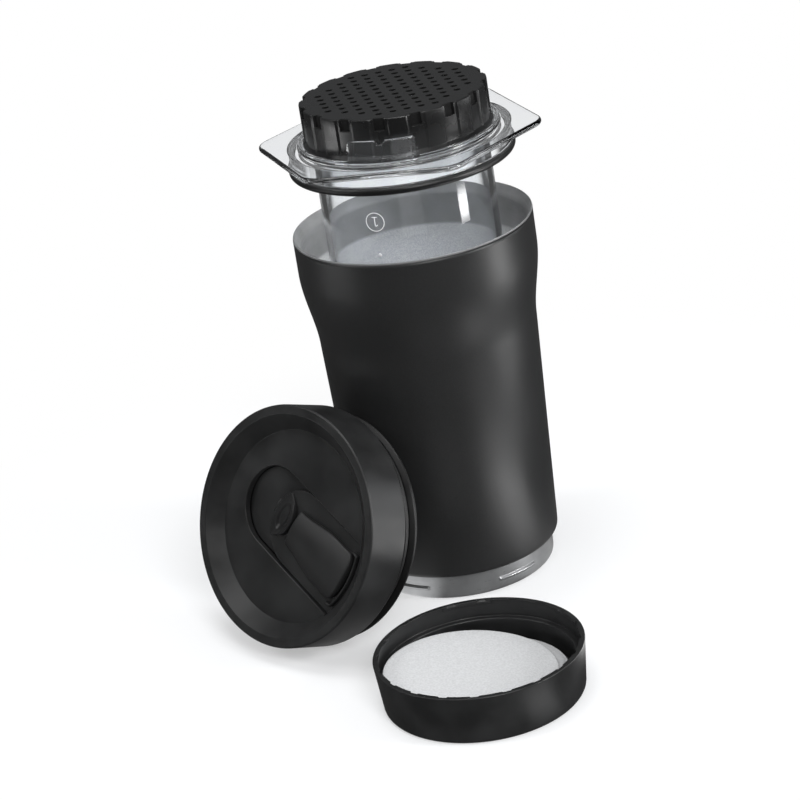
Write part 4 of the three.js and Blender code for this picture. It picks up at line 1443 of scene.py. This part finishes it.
@dataclass
class Lid:
    """Lid with a dished face, a slot with a sliding thumb piece over the mouth, a plug and two gaskets."""

    radius: float = 45.8 * MM
    skirt_depth: float = 18.2 * MM
    skirt_wall: float = 2.2 * MM
    edge: float = 0.8 * MM
    land: float = 3.6 * MM
    cone: float = 5.8 * MM
    deck: float = -5.0 * MM
    deck_thickness: float = 2.5 * MM
    gap: float = 0.3 * MM
    slot_half: float = 15.9 * MM
    slot_left: float = 27.5 * MM
    slot_right: float = 37.6 * MM
    slot_land: float = 0.3 * MM
    tray: float = 1.8 * MM
    plug_plate: float = 2.4 * MM
    plug_depth: float = 29.5 * MM
    plug_radius: float = 41.6 * MM
    plug_wall: float = 3.6 * MM
    plug_round: float = 0.3 * MM
    groove: float = 1.4 * MM
    gasket_height: float = 2.8 * MM
    gasket_radius: float = 43.4 * MM
    gasket_depths: Pair = (19.6 * MM, 24.6 * MM)
    mouth_radius: float = 5.5 * MM
    mouth_reach: float = 27.0 * MM
    slit: tuple[float, float, float] = (-13.5 * MM, 8.5 * MM, 2.9 * MM)
    travel: float = 15.0 * MM
    slider_gap: float = 0.4 * MM
    plate: float = 1.5 * MM
    plate_round: float = 0.3 * MM
    bridge_half: float = 10.5 * MM
    bridge_left: float = 0.6 * MM
    bridge_end: float = 33.8 * MM
    bridge_neck: float = 7.4 * MM
    lip_gap: float = 1.6 * MM
    lip_half: float = 0.45 * MM
    lip_rise: float = 1.9 * MM
    lip_overhang: float = 0.6
    lip_hook: tuple[Pair, Pair] = ((1.2 * MM, 0.165 * MM), (2.4 * MM, 0.11 * MM))
    lip_crown: float = 0.45
    bridge_height: float = 3.6 * MM
    bridge_shoulder: float = 1.62 * MM
    bridge_edge: float = 0.7 * MM
    bridge_bow: float = 1.6 * MM
    bridge_flare: float = 0.7
    bridge_start: float = 0.8
    bridge_climb: float = 0.5
    ridge_centre: float = -11.3 * MM
    ridge_radius: float = 10.4 * MM
    ridge_half: float = 0.6 * MM
    ridge_height: float = 2.6 * MM
    ridge_sweep: float = TURN * 0.24
    ridge_crown: float = 0.35
    ridge_thinning: float = 0.55
    ridge_fall: float = 0.3
    pad_height: float = 1.0 * MM
    pad_inset: float = 0.6 * MM
    pad_edge: float = 0.35 * MM
    pad_gap: float = 0.1 * MM
    pad_start: float = 0.2
    pad_level: float = 3.0 * MM
    dish_centre: float = -6.3 * MM
    dish_along: float = 2.8 * MM
    dish_across: float = 6.2 * MM
    dish_depth: float = 1.3 * MM
    dish_rim: float = 1.04
    face_centre: Point = (-66.0684 * MM, -53.7357 * MM, 50.2511 * MM)
    heading: float = math.radians(223.5)
    lean: float = math.radians(23.2)
    slot_turn: float = math.radians(-26.5)
    corner_steps: tuple[float, ...] = (-0.008, -0.003, 0.0, 0.003, 0.008)
    columns: int = 256
    cover_columns: int = 384
    cutter_columns: int = 48
    dish_columns: int = 160
    sharp: float = math.radians(50)

    @property
    def place(self) -> Matrix:
        """Takes the lid's own axes, slot along X and face outwards along Z, to the frame's.

        The face looks along the heading and leans back, and the slot is turned about the face's own axis.
        """
        outward = Vector((math.cos(self.heading), math.sin(self.heading), 0))
        upward = Vector((0, 0, 1))
        level = upward.cross(outward)
        facing = outward * math.cos(self.lean) + upward * math.sin(self.lean)
        rise = facing.cross(level)
        along = level * math.cos(self.slot_turn) + rise * math.sin(self.slot_turn)
        matrix = Matrix((along, facing.cross(along), facing)).transposed().to_4x4()
        matrix.translation = Vector(self.face_centre)
        return matrix

    @property
    def deck_under(self) -> float:
        """Height of the underside of the face's deck."""
        return self.deck - self.deck_thickness

    @property
    def plug_top(self) -> float:
        """Height of the plug's top, under the tray."""
        return self.deck_under - self.gap * 2 - self.tray

    @property
    def slider_top(self) -> float:
        """Height of the top of the slider's plate."""
        return self.deck_under + self.plate

    @property
    def slider_foot(self) -> float:
        """Height, half way down the slider's plate, where the forms on top of it begin."""
        return self.slider_top - self.plate / 2

    @property
    def slider_left(self) -> float:
        """How far the slider's near end lies from the lid's axis at rest."""
        return self.slot_left - self.travel - self.slider_gap

    def slot_reach(self, angles: np.ndarray) -> np.ndarray:
        """Distance from the lid's axis to the edge of the slot.

        The long sides lie at the half width over the sine of the angle. The far end is a circle about the
        axis. The near end is a half circle about a point of the slot's middle line, met at the root of its
        quadratic.
        """
        half = self.slot_half
        back = self.slot_left - half
        sine = np.maximum(np.abs(np.sin(angles)), MERGE)
        side = half / sine
        round_end = -back * np.cos(angles) + np.sqrt(np.maximum(half ** 2 - (back * sine) ** 2, 0))
        return np.where(side * np.cos(angles) < -back, round_end, np.minimum(side, self.slot_right))

    def slot_angles(self) -> np.ndarray:
        """Even angles with extra ones close to the slot's two corners."""
        corner = math.asin(self.slot_half / self.slot_right)
        near = [corner + offset for offset in self.corner_steps]
        return np.unique(np.concatenate([even_angles(self.cover_columns), near, [TURN - a for a in near]]))

    def cover(self) -> Shell:
        """Face and skirt, with the slot cut through the face and into its sloping band."""
        angles = self.slot_angles()
        land_radius = self.radius - self.land
        cone_radius = land_radius - self.cone
        skirt = self.radius - self.skirt_wall
        columns = []
        for rho in self.slot_reach(angles):
            foot = max(cone_radius, rho + self.slot_land)
            foot_level = self.deck * min(1.0, (land_radius - foot) / self.cone)
            level = self.deck * min(1.0, (land_radius - rho) / self.cone)
            columns.append(rounded([
                (rho, self.deck_under, 0.2 * MM),
                (skirt, self.deck_under, 0.6 * MM),
                (skirt, -self.skirt_depth, 0.4 * MM),
                (self.radius, -self.skirt_depth, 0.4 * MM),
                (self.radius, 0, self.edge),
                (land_radius, 0, 0.35 * MM),
                (foot, foot_level, 0.3 * MM),
                (rho, level, 0.25 * MM),
            ], closed=True, steps=5))
        shape = np.stack(columns, 1)
        return grid_shell(polar_points(shape[..., 0], shape[..., 1], angles), wrap_rows=True)

    def plug(self) -> Object:
        """Plug behind the face: a step under the skirt, two gasket grooves, the mouth hole and the slit."""
        inner = self.plug_radius - self.plug_wall
        grooved = self.plug_radius - self.groove
        fit = self.radius - self.skirt_wall - self.gap
        under = self.plug_top - self.plug_plate
        small = self.plug_round
        corners: list[Point] = [(0, under, 0), (inner, under, small * 3)]
        corners += [(inner, -self.plug_depth, small * 2), (self.plug_radius, -self.plug_depth, small * 3)]
        for depth in reversed(self.gasket_depths):
            low = -depth - self.gasket_height - self.gap * 2
            corners += [(self.plug_radius, low, small), (grooved, low, small)]
            corners += [(grooved, -depth, small), (self.plug_radius, -depth, small)]
        corners += [(self.plug_radius, -self.skirt_depth, 0), (fit, -self.skirt_depth, small)]
        corners += [(fit, self.plug_top, small), (0, self.plug_top, 0)]
        blank = turned_shell(rounded(corners, steps=4), even_angles(self.columns), closed=False)
        body = shells_to_object("grained_plug", [blank])
        low, high = self.plug_top - self.plug_plate * 2, self.plug_top + self.plug_plate
        hole = self.mouth_radius * circle(even_angles(self.cutter_columns)) + np.array([self.mouth_reach, 0])
        left, right, half = self.slit
        slit = np.array([(left, -half), (right, -half), (right, half), (left, half)])
        for outline in (hole, slit):
            centre = outline.mean(0)
            share = np.array([0, 1, 1, 0])[:, None, None]
            flat = centre + (outline - centre)[None] * share
            body = cut_object(body, grid_shell(raised(flat, np.array([low, low, high, high])[:, None])))
        body.data.transform(self.place)
        keep_sharp(body, self.sharp)
        return body

    def gasket(self, depth: float) -> Shell:
        """Ring with a rounded crest, in the plug's groove that begins a depth behind the lid's face."""
        inner = self.plug_radius - self.groove + self.gap
        high = -depth - self.gap
        low = high - self.gasket_height
        middle = (low + high) / 2
        return turned_shell(rounded([
            (inner, low, 0.2 * MM),
            (self.plug_radius, low, 0.4 * MM),
            (self.gasket_radius, middle - 0.25 * MM, 0.5 * MM),
            (self.gasket_radius, middle + 0.25 * MM, 0.5 * MM),
            (self.plug_radius, high, 0.4 * MM),
            (inner, high, 0.2 * MM),
        ], closed=True, steps=5), even_angles(self.columns))

    def slider_outline(self) -> np.ndarray:
        """Outline of the slider's plate: a half circle at its near end and an arc about the lid's axis."""
        half = self.slot_half - self.slider_gap
        right = self.slot_right - self.slider_gap
        tip = math.asin(half / right)
        end = half * circle(np.linspace(math.pi / 2, 3 * math.pi / 2, 61)) + [half - self.slider_left, 0]
        return np.concatenate([end, right * circle(np.linspace(-tip, tip, 41))])

    def bridge(self) -> Shell:
        """Crowned bridge that widens towards the mouth and ends in a curve about the lid's axis.

        Across it, the height falls off with the squared share of the half width, from the crown to the
        shoulder. Its edges are rounded by quarter circles of one radius on all sides.
        """
        edge = self.bridge_edge
        section = 1 - 2 * dense_ends(0.07, 0.01)
        run = dense_ends(0.05, 0.02)
        half = self.bridge_neck + (self.bridge_half - self.bridge_neck) * smoothstep(run / self.bridge_flare)
        across = half[:, None] * section[None, :]
        far = np.sqrt(self.bridge_end ** 2 - across ** 2) - self.bridge_bow * np.abs(section[None, :]) ** 6
        along = self.bridge_left + (far - self.bridge_left) * run[:, None]
        growth = (1 - self.bridge_start) * smoothstep(run / self.bridge_climb)
        crown = self.bridge_height * (self.bridge_start + growth)[:, None]
        lift = crown - (crown - self.bridge_shoulder) * section[None, :] ** 2
        side_gap = half[:, None] * (1 - np.abs(section[None, :]))
        end_gap = np.minimum(along - self.bridge_left, far - along)
        for gap in (side_gap, end_gap):
            near = np.clip(gap / edge, 0, 1)
            lift = lift - edge * (1 - np.sqrt(np.maximum(1 - (1 - near) ** 2, 0)))
        top = np.stack([along, across, self.slider_top + lift], -1)
        rim = np.concatenate([top[0], top[1:, -1], top[-1, -2::-1], top[-2:0:-1, 0]])
        skirt = rim.copy()
        skirt[:, 2] = self.slider_foot
        middle = np.broadcast_to(skirt.mean(0), skirt.shape)
        under = grid_shell(np.stack([rim, skirt, middle]))
        points, quads = grid_shell(top, wrap_columns=False)
        return np.concatenate([points, under[0]]), np.concatenate([quads, under[1] + len(points)])

    def mouth_lip(self) -> Shell:
        """Thin raised lip round the bridge's far end, with a hook of two points behind each of its tips."""
        reach = self.bridge_end + self.lip_gap
        tip = math.asin((self.bridge_half + self.lip_gap * self.lip_overhang) / reach)
        arc = reach * circle(np.linspace(-1, 1, 49) * tip)
        hook = np.array(self.lip_hook)
        path = np.concatenate([arc[0] - hook[::-1], arc, arc[-1] + hook * (-1, 1)])
        crest = self.slider_top + self.lip_rise
        return swept_ridge(path, self.lip_half, self.slider_foot, crest, self.lip_crown)

    def thumb_pad(self) -> Shell:
        """Pad that rises towards the ridge, with an elliptical dish.

        The dish falls by its depth times (1 - r^2), with r the elliptical distance from its centre.
        """
        left = self.slider_left
        half = self.slot_half - self.slider_gap - self.pad_inset
        ray = circle(even_angles(self.dish_columns))
        start = np.array([self.dish_centre, 0.0])

        def circle_reach(centre: float, radius: float) -> np.ndarray:
            """Distance along each ray to a circle about a point on the X axis."""
            offset = start[0] - centre
            middle = -offset * ray[:, 0]
            return middle + np.sqrt(np.maximum(middle ** 2 - offset ** 2 + radius ** 2, 0))

        reach = np.minimum(circle_reach(half - left + self.pad_inset, half),
                           circle_reach(self.ridge_centre, self.ridge_radius - self.pad_gap))
        low = self.slider_foot
        edge = self.pad_edge
        ellipse = ray * np.array([self.dish_along, self.dish_across])
        shares = np.linspace(0, 1, 15)
        rows = [(start + ellipse * share, self.dish_depth * (1 - share ** 2)) for share in shares]
        rows.append((start + ellipse * self.dish_rim, 0.0))
        for angle in np.linspace(0, math.pi / 2, 6):
            flat = start + ray * (reach - edge * (1 - math.sin(angle)))[:, None]
            rows.append((flat, edge * (1 - math.cos(angle))))
        points = []
        for flat, drop in rows:
            climb = smoothstep((flat[:, 0] + left) / (left - self.pad_level))
            rise = self.pad_height * (self.pad_start + (1 - self.pad_start) * climb)
            points.append(raised(flat, self.slider_top + rise - drop))
        points.append(raised(start + ray * reach[:, None], low))
        points.append(raised(start + ray * 0, low))
        return grid_shell(np.stack(points))

    def thumb_ridge(self) -> Shell:
        """Curved ridge behind the dish, thinner towards its tips."""
        turn = np.linspace(-self.ridge_sweep / 2, self.ridge_sweep / 2, 61)
        path = self.ridge_radius * circle(turn) + np.array([self.ridge_centre, 0])
        share = np.abs(turn) / (self.ridge_sweep / 2)
        half = self.ridge_half * (1 - self.ridge_thinning * share ** 4)
        crest = self.slider_top + self.ridge_height * (1 - self.ridge_fall * share ** 4)
        return swept_ridge(path, half, self.slider_foot, crest, self.ridge_crown)

    def slider(self) -> list[Shell]:
        """The sliding piece: plate, bridge, mouth lip, thumb pad and ridge in one moulding."""
        plate = outline_slab(self.slider_outline(), self.deck_under, self.slider_top, self.plate_round)
        return [plate, self.bridge(), self.mouth_lip(), self.thumb_pad(), self.thumb_ridge()]

    def build(self, finishes: Finishes) -> None:
        """Makes the lid's pieces."""
        place = self.place
        make_piece("lid_face", [moved(self.cover(), place)], Body.LID, finishes.lid, ["lid_cover"])
        register(self.plug(), Body.LID, finishes.plug, ["lid_plug"])
        for side, depth in zip(("front", "rear"), self.gasket_depths):
            make_piece(f"{side}_gasket", [moved(self.gasket(depth), place)], Body.LID,
                       finishes.rubber, [f"lid_gasket_{side}"])
        make_piece("thumb_slider", [moved(shell, place) for shell in self.slider()], Body.SLIDER,
                   finishes.slider, ["lid_slider"])
        dress_node("slot_tray", finishes.lid)
        dress_node("slider_seal", finishes.rubber)
        dress_node("slider_clip", finishes.slider)


# Paper holder

@dataclass
class PaperHolder:
    """Round tray that twists on to the tumbler's foot, with a stack of papers and two laid loosely on top."""

    centre: Pair = (-1.4 * MM, -115.3 * MM)
    top_radius: float = 38.6 * MM
    foot_radius: float = 36.8 * MM
    height: float = 19.2 * MM
    corner: float = 2.2 * MM
    bore: float = 37.2 * MM
    ledge: float = 12.2 * MM
    well: float = 35.0 * MM
    floor: float = 2.0 * MM
    lug_count: int = 5
    lug_proud: float = 0.7 * MM
    lug_height: float = 1.2 * MM
    lug_drop: float = 0.4 * MM
    lug_sweep: float = TURN * 0.08
    lug_turn: float = math.radians(20)
    lug_flank: float = math.radians(1.6)
    rim_land: float = 0.7 * MM
    small: float = 0.2 * MM
    notch_count: int = 20
    notch_sweep: float = math.radians(5)
    notch_flank: float = math.radians(0.7)
    notch_depth: float = 0.6 * MM
    paper_radius: float = 31.75 * MM
    paper_thickness: float = 0.3 * MM
    stack_height: float = 4.4 * MM
    stack_count: int = 14
    shift: float = 1.4 * MM
    shift_turn: float = math.radians(205)
    gap: float = 0.3 * MM
    columns: int = 600
    paper_columns: int = 192
    paper_edge: float = 0.985
    paper_thinning: float = 0.3
    stack_seed: int = 7
    stack_offset: float = 0.07 * MM
    stack_share: float = 0.96
    second_share: float = 0.9
    second_seed: int = 21
    loose_wave: float = 0.08 * MM
    loose_seed: int = 33

    def tray(self) -> Shell:
        """The tray, with five lugs inside its rim and notches round it."""
        high = self.height - self.lug_drop
        low = high - self.lug_height
        small = self.small

        def profile(proud: float, cut: float = 0) -> np.ndarray:
            """The tray's section with its lug band moved in, or its rim notched."""
            inner = self.bore - proud
            land = self.bore - self.rim_land + cut
            return rounded([
                (0, 0, 0),
                (self.foot_radius, 0, self.corner),
                (self.top_radius, self.height, self.rim_land / 2),
                (land, self.height, small),
                (land, high + small / 2, small / 2),
                (inner, high - small, small),
                (inner, low + small, small),
                (self.bore, low, small),
                (self.bore, self.ledge, small * 2),
                (self.well, self.ledge, small * 2),
                (self.well, self.floor, small * 4),
                (0, self.floor, 0),
            ])

        angles = even_angles(self.columns)
        lugs = repeated_weight(angles, self.lug_count, self.lug_turn, self.lug_sweep, self.lug_flank)
        first = self.lug_turn + TURN * 0.5 / self.notch_count
        notches = repeated_weight(angles, self.notch_count, first, self.notch_sweep, self.notch_flank)
        variants = [(profile(self.lug_proud), lugs), (profile(0, self.notch_depth), notches)]
        return blended_shell(profile(0), variants, angles, closed=False)

    def paper(self, low: float, thickness: float, wave: float, seed: int) -> Shell:
        """One paper: a disc whose height swells by three slow waves round it, with the squared radius.

        Args:
            low: the height of its underside.
            thickness: how thick it is.
            wave: the height of its waves.
            seed: what the phases of its waves are drawn from.

        Returns:
            The shell.
        """
        rng = np.random.default_rng(seed)
        angles = even_angles(self.paper_columns)
        phases = rng.uniform(0, TURN, 3)
        swell = sum(np.cos((k + 2) * angles + phase) / (k + 2) for k, phase in enumerate(phases))
        share = np.concatenate([[0], np.linspace(0.04, 0.97, 24), [self.paper_edge, 0.995, 1.0]])
        radius = self.paper_radius * share
        lift = wave * (share[:, None] ** 2) * swell[None, :]
        rim = smoothstep((share - self.paper_edge) / (1 - self.paper_edge))
        soft = thickness * self.paper_thinning * rim[:, None]
        under = polar_points(radius[:, None], low + lift + soft, angles)
        over = polar_points(radius[:, None], low + thickness + lift - soft, angles)
        return grid_shell(np.concatenate([under, over[::-1]]))

    def stack(self) -> list[Shell]:
        """The stack: papers of one size, each a hair off centre."""
        rng = np.random.default_rng(self.stack_seed)
        pitch = self.stack_height / self.stack_count
        shells = []
        for number in range(self.stack_count):
            off = rng.normal(0, self.stack_offset, 2)
            shell = self.paper(self.floor + number * pitch, pitch * self.stack_share, 0.0, number)
            shells.append(moved(shell, Matrix.Translation((off[0], off[1], 0))))
        return shells

    def loose_place(self) -> Matrix:
        """Tilt and place of the top paper, with its left on the ledge and its right on the stack."""
        low = self.floor + self.stack_height + self.paper_thickness + self.gap
        high = self.ledge + self.gap
        shift = (self.bore + self.well) / 2 - self.gap - self.paper_radius
        squares = self.well ** 2 - self.paper_radius ** 2 + shift ** 2
        prop = squares / (2 * shift) - shift
        tilt = math.asin((high - low) / (self.paper_radius + prop))
        lift = low + self.paper_radius * math.sin(tilt)
        return Matrix.Translation((-shift, 0, lift)) @ Matrix.Rotation(tilt, 4, "Y")

    def build(self, finishes: Finishes) -> None:
        """Makes the holder's pieces and the papers."""
        place = Matrix.Translation((*self.centre, 0))
        shift = Vector((math.cos(self.shift_turn), math.sin(self.shift_turn), 0)) * self.shift
        thickness = self.paper_thickness * self.second_share
        second = self.paper(self.floor + self.stack_height, thickness, 0.0, self.second_seed)
        second = moved(second, place @ Matrix.Translation(shift))
        loose = self.paper(0, self.paper_thickness, self.loose_wave, self.loose_seed)
        loose = moved(loose, place @ self.loose_place())
        make_piece("paper_tray", [moved(self.tray(), place)], Body.HOLDER, finishes.holder,
                   ["filter_holder"])
        # The stack and the shifted paper wear the darker paper: painted shade under the leaning paper
        make_piece("papers_stacked", [moved(shell, place) for shell in self.stack()], Body.HOLDER,
                   finishes.shade_painted, ["paper_stack"])
        make_piece("paper_shifted", [second], Body.HOLDER, finishes.shade_painted, ["second_paper"])
        make_piece("paper_leaning", [loose], Body.PAPER, finishes.paper, ["loose_paper"])


# Studio

def stage_mesh(name: str, points: np.ndarray, faces: Sequence[Sequence[int]], material: Material) -> Object:
    """Makes a plain object of the studio, which is no piece of the press.

    Args:
        name: the object's name.
        points: its corners.
        faces: its faces, as indices of the corners.
        material: its material.

    Returns:
        The object, linked.
    """
    mesh = bpy.data.meshes.new(name)
    mesh.from_pydata(points.tolist(), [], faces)
    mesh.materials.append(material)
    thing = add_object(name, mesh)
    return thing


class StageTree(NodeTree):
    """Node tree of the floor, a wall or the world."""

    def ramp(self, value: Socket, low: float, high: float, first: float = 0.0, last: float = 1.0) -> Socket:
        """Smooth step of a value from low to high, turned into first to last."""
        return self.remap(value, low, high, first, last, "SMOOTHSTEP")

    def glow(self, strength: Value, colour: Point = (1, 1, 1)) -> Socket:
        """Light of a strength and a colour."""
        return self.add("ShaderNodeEmission", {"Color": (*colour, 1), "Strength": strength}).outputs[0]

    def mix(self, share: Socket, first: Socket, second: Socket) -> Socket:
        """Mix of two shaders."""
        return self.add("ShaderNodeMixShader", {0: share, 1: first, 2: second}).outputs[0]

    def show(self, surface: Socket) -> None:
        """Joins a shader to the output."""
        self.feed(surface, self.output.inputs["Surface"])


@dataclass(frozen=True)
class Softbox:
    """An area lamp that looks at a point."""

    name: str
    place: Point
    target: Point
    size: Pair
    watts: float
    spread: float = math.radians(140)

    def build(self) -> None:
        """Makes the lamp."""
        lamp = bpy.data.lights.new(self.name, "AREA")
        lamp.shape = "RECTANGLE"
        lamp.size, lamp.size_y = self.size
        lamp.energy = self.watts
        lamp.spread = self.spread
        holder = add_object(self.name, lamp)
        holder.location = self.place
        aim = Vector(self.target) - Vector(self.place)
        holder.rotation_euler = aim.to_track_quat("-Z", "Y").to_euler()


@dataclass(frozen=True)
class MirrorWall:
    """Curved wall that only reflections see."""

    name: str
    turn: Pair
    tone: float
    reach: float = 3.2
    low: float = 0.0
    high: float = 4.0
    columns: int = 33

    def build(self) -> None:
        """Makes the wall as a strip of quads, hidden from the camera and from soft light."""
        turn = np.radians(np.linspace(*self.turn, self.columns))
        strip = polar_points(np.array([[self.reach]]), np.array([[self.low], [self.high]]), turn)
        points, quads = grid_shell(strip, wrap_columns=False)
        tree = StageTree(bpy.data.materials.new(self.name))
        tree.show(tree.glow(1.0, grey(self.tone)))
        wall = stage_mesh(self.name, points, quads.tolist(), tree.owner)
        wall.visible_camera = False
        wall.visible_diffuse = False
        wall.visible_shadow = False
        wall.visible_transmission = False


@dataclass(frozen=True)
class Glare:
    """Patch of the floor that only reflections see: a sector of a ring about a centre."""

    light: float
    reach: Pair
    heading: float = 0.0
    sweep: Pair = (math.pi, math.pi)
    centre: Pair = (0.0, 0.0)
    fade: float = 0.03

    def strength(self, tree: StageTree, place: Socket) -> Socket:
        """The patch's light: its level times a ramp on the ring's edges and one on the sector's sides.

        Args:
            tree: the floor's node tree.
            place: the place on the floor.

        Returns:
            The strength of its light.
        """
        offset = tree.vector("SUBTRACT", place, (*self.centre, 0))
        distance = tree.vector("LENGTH", offset, out="Value")
        near, far = self.reach
        inner = tree.ramp(distance, near - self.fade, near + self.fade)
        outer = tree.ramp(distance, far - self.fade, far + self.fade, self.light, 0.0)
        ring = tree.math("MULTIPLY", inner, outer)
        if self.sweep[0] >= math.pi:
            return ring
        direction = tree.vector("NORMALIZE", offset)
        heading = (math.cos(self.heading), math.sin(self.heading), 0)
        facing = tree.vector("DOT_PRODUCT", direction, heading, "Value")
        sector = tree.ramp(facing, math.cos(self.sweep[1]), math.cos(self.sweep[0]))
        return tree.math("MULTIPLY", ring, sector)


def sector_glare(light: float, reach: Pair, heading: float, sweep: Pair, fade: float = 0.03,
                 centre: Pair = (0.0, 0.0)) -> Glare:
    """A glare whose heading and sweep are in degrees."""
    full, faded = (math.radians(angle) for angle in sweep)
    return Glare(light, reach, math.radians(heading), (full, faded), centre, fade)


@dataclass
class Studio:
    """White surroundings, soft lamps, a floor that keeps the shadow, and the camera."""

    eye: Point = (-15.29 * MM, -1044.48 * MM, 500.08 * MM)
    lens: float = 130.5
    sensor: float = 36.0
    clip_end: float = 60.0
    elevation: float = math.radians(22.32)
    roll: float = math.radians(9.04)
    fill: float = 0.42
    floor_reach: float = 10.0
    floor_tone: float = 0.55
    floor_glow: float = 0.42
    floor_dark: float = 0.07
    shadow_fade: Pair = (0.13, 0.26)
    clear_half: Pair = (0.105, 0.15)
    clear_near: Pair = (0.2, 0.26)
    clear_far: Pair = (0.6, 0.75)
    glares: tuple[Glare, ...] = (
        Glare(0.08, (-0.1, 0.085)),
        sector_glare(1.1, (-0.1, 0.07), -140, (14, 34)),
        sector_glare(0.35, (-0.1, 0.07), -24, (14, 34)),
        sector_glare(4.0, (0.07, 0.145), -31, (4, 18), 0.02),
        sector_glare(4.0, (0.225, 0.3), -22, (3, 13), 0.02),
        sector_glare(18.0, (0.35, 0.44), -14, (3, 9), 0.02),
        sector_glare(26.0, (0.465, 0.51), -19.5, (5, 8), 0.02),
        sector_glare(9.0, (0.6, 0.9), -171, (8, 24)),
        Glare(7.0, (-0.1, 0.07), centre=(0.33, -0.05)),
        Glare(5.0, (-0.1, 0.03), centre=(0.085, -0.088), fade=0.015),
        sector_glare(2.4, (0.046, 0.06), -52, (2, 16), 0.01, PaperHolder.centre),
    )
    walls: tuple[MirrorWall, ...] = (
        MirrorWall("dark_front", (140, 400), 0.03),
        MirrorWall("grey_back", (40, 140), 0.17),
        MirrorWall("bright_right", (-4, 14), 4.0, 1.2, 0.0, 0.4),
    )
    softboxes: tuple[Softbox, ...] = (
        Softbox("key", (1.2, -0.6, 0.4), (0, 0, 0.08), (0.3, 0.8), 8),
        Softbox("left", (-1.4, -0.2, 1.25), (0, 0, 0.05), (0.5, 0.5), 4),
        Softbox("top", (-0.1, -0.1, 1.7), (0, -0.05, 0), (0.7, 0.7), 5),
        Softbox("front", (0.3, -1.35, 1.05), (0, 0, 0.12), (0.5, 0.5), 8),
    )

    def camera(self) -> None:
        """Camera at the eye, looking down at the elevation, with its roll."""
        down = Vector((0, math.cos(self.elevation), -math.sin(self.elevation)))
        right = Vector((1, 0, 0))
        up = Vector((0, math.sin(self.elevation), math.cos(self.elevation)))
        turned_right = right * math.cos(self.roll) - up * math.sin(self.roll)
        turned_up = right * math.sin(self.roll) + up * math.cos(self.roll)
        matrix = Matrix((turned_right, turned_up, -down)).transposed().to_4x4()
        matrix.translation = Vector(self.eye)
        data = bpy.data.cameras.new("view")
        data.lens = self.lens
        data.sensor_width = self.sensor
        data.clip_end = self.clip_end
        holder = add_object("view", data)
        holder.matrix_world = matrix
        bpy.context.scene.camera = holder

    def world(self) -> None:
        """White to the camera, to reflections and through clear pieces, and a grey fill for soft light."""
        world = bpy.data.worlds.new("white")
        tree = StageTree(world, "ShaderNodeOutputWorld")
        path = tree.add("ShaderNodeLightPath").outputs
        seen = tree.math("ADD", path["Is Camera Ray"], path["Is Transmission Ray"], clamp=True)
        seen = tree.math("ADD", seen, path["Is Glossy Ray"], clamp=True)
        soft, white = (
            tree.add("ShaderNodeBackground", {"Color": (1, 1, 1, 1), "Strength": strength}).outputs[0]
            for strength in (self.fill, 1.0)
        )
        tree.show(tree.mix(seen, soft, white))
        bpy.context.scene.world = world

    def floor(self) -> None:
        """Pale floor: it keeps the shadow near the object and turns to white light far away.

        Reflections see a dark floor with the glares on it, and clear pieces see it dark at both sides, which
        draws their edges.
        """
        tree = StageTree(bpy.data.materials.new("floor"))
        place = tree.place()
        distance = tree.vector("LENGTH", place, out="Value")
        diffuse = tree.add("ShaderNodeBsdfDiffuse", {"Color": (*grey(self.floor_tone), 1)}).outputs[0]
        lifted = tree.add("ShaderNodeAddShader", {0: diffuse, 1: tree.glow(self.floor_glow)}).outputs[0]
        plain = tree.mix(tree.ramp(distance, *self.shadow_fade), lifted, tree.glow(1.0))
        aside = tree.ramp(tree.math("ABSOLUTE", tree.axes(place)["X"]), *self.clear_half)
        near = tree.ramp(distance, *self.clear_near)
        beyond = tree.math("MULTIPLY", near, tree.ramp(distance, *self.clear_far, 1.0, 0.0))
        edged = tree.mix(tree.math("MULTIPLY", aside, beyond), plain, tree.glow(self.floor_dark))
        path = tree.add("ShaderNodeLightPath").outputs
        through = tree.mix(path["Is Transmission Ray"], plain, edged)
        mirrored = self.glares[0].strength(tree, place)
        for glare in self.glares[1:]:
            mirrored = tree.math("ADD", mirrored, glare.strength(tree, place))
        mirrored = tree.math("ADD", mirrored, self.floor_dark)
        bounced = tree.math("SUBTRACT", path["Is Glossy Ray"], path["Is Transmission Ray"], clamp=True)
        tree.show(tree.mix(bounced, through, tree.glow(mirrored)))
        reach = self.floor_reach
        corners = np.array([(-reach, -reach, 0), (reach, -reach, 0), (reach, reach, 0), (-reach, reach, 0)])
        stage_mesh("floor", corners, [(0, 1, 2, 3)], tree.owner)

    def build(self) -> None:
        """Makes the surroundings, the floor, the lamps and the camera."""
        self.world()
        self.floor()
        for wall in self.walls:
            wall.build()
        for softbox in self.softboxes:
            softbox.build()
        self.camera()
        view = bpy.context.scene.view_settings
        view.view_transform = "Standard"
        view.look = "None"


def main() -> None:
    """Builds the press and its studio."""
    logging.basicConfig(level=logging.INFO, format="%(name)s %(message)s", force=True)
    finishes = Finishes()
    for part in (Tumbler(), PressChamber(), FilterCap(), Plunger(), Lid(), PaperHolder()):
        part.build(finishes)
    Studio().build()
    bpy.context.view_layer.update()


if __name__ == "__main__":
    main()
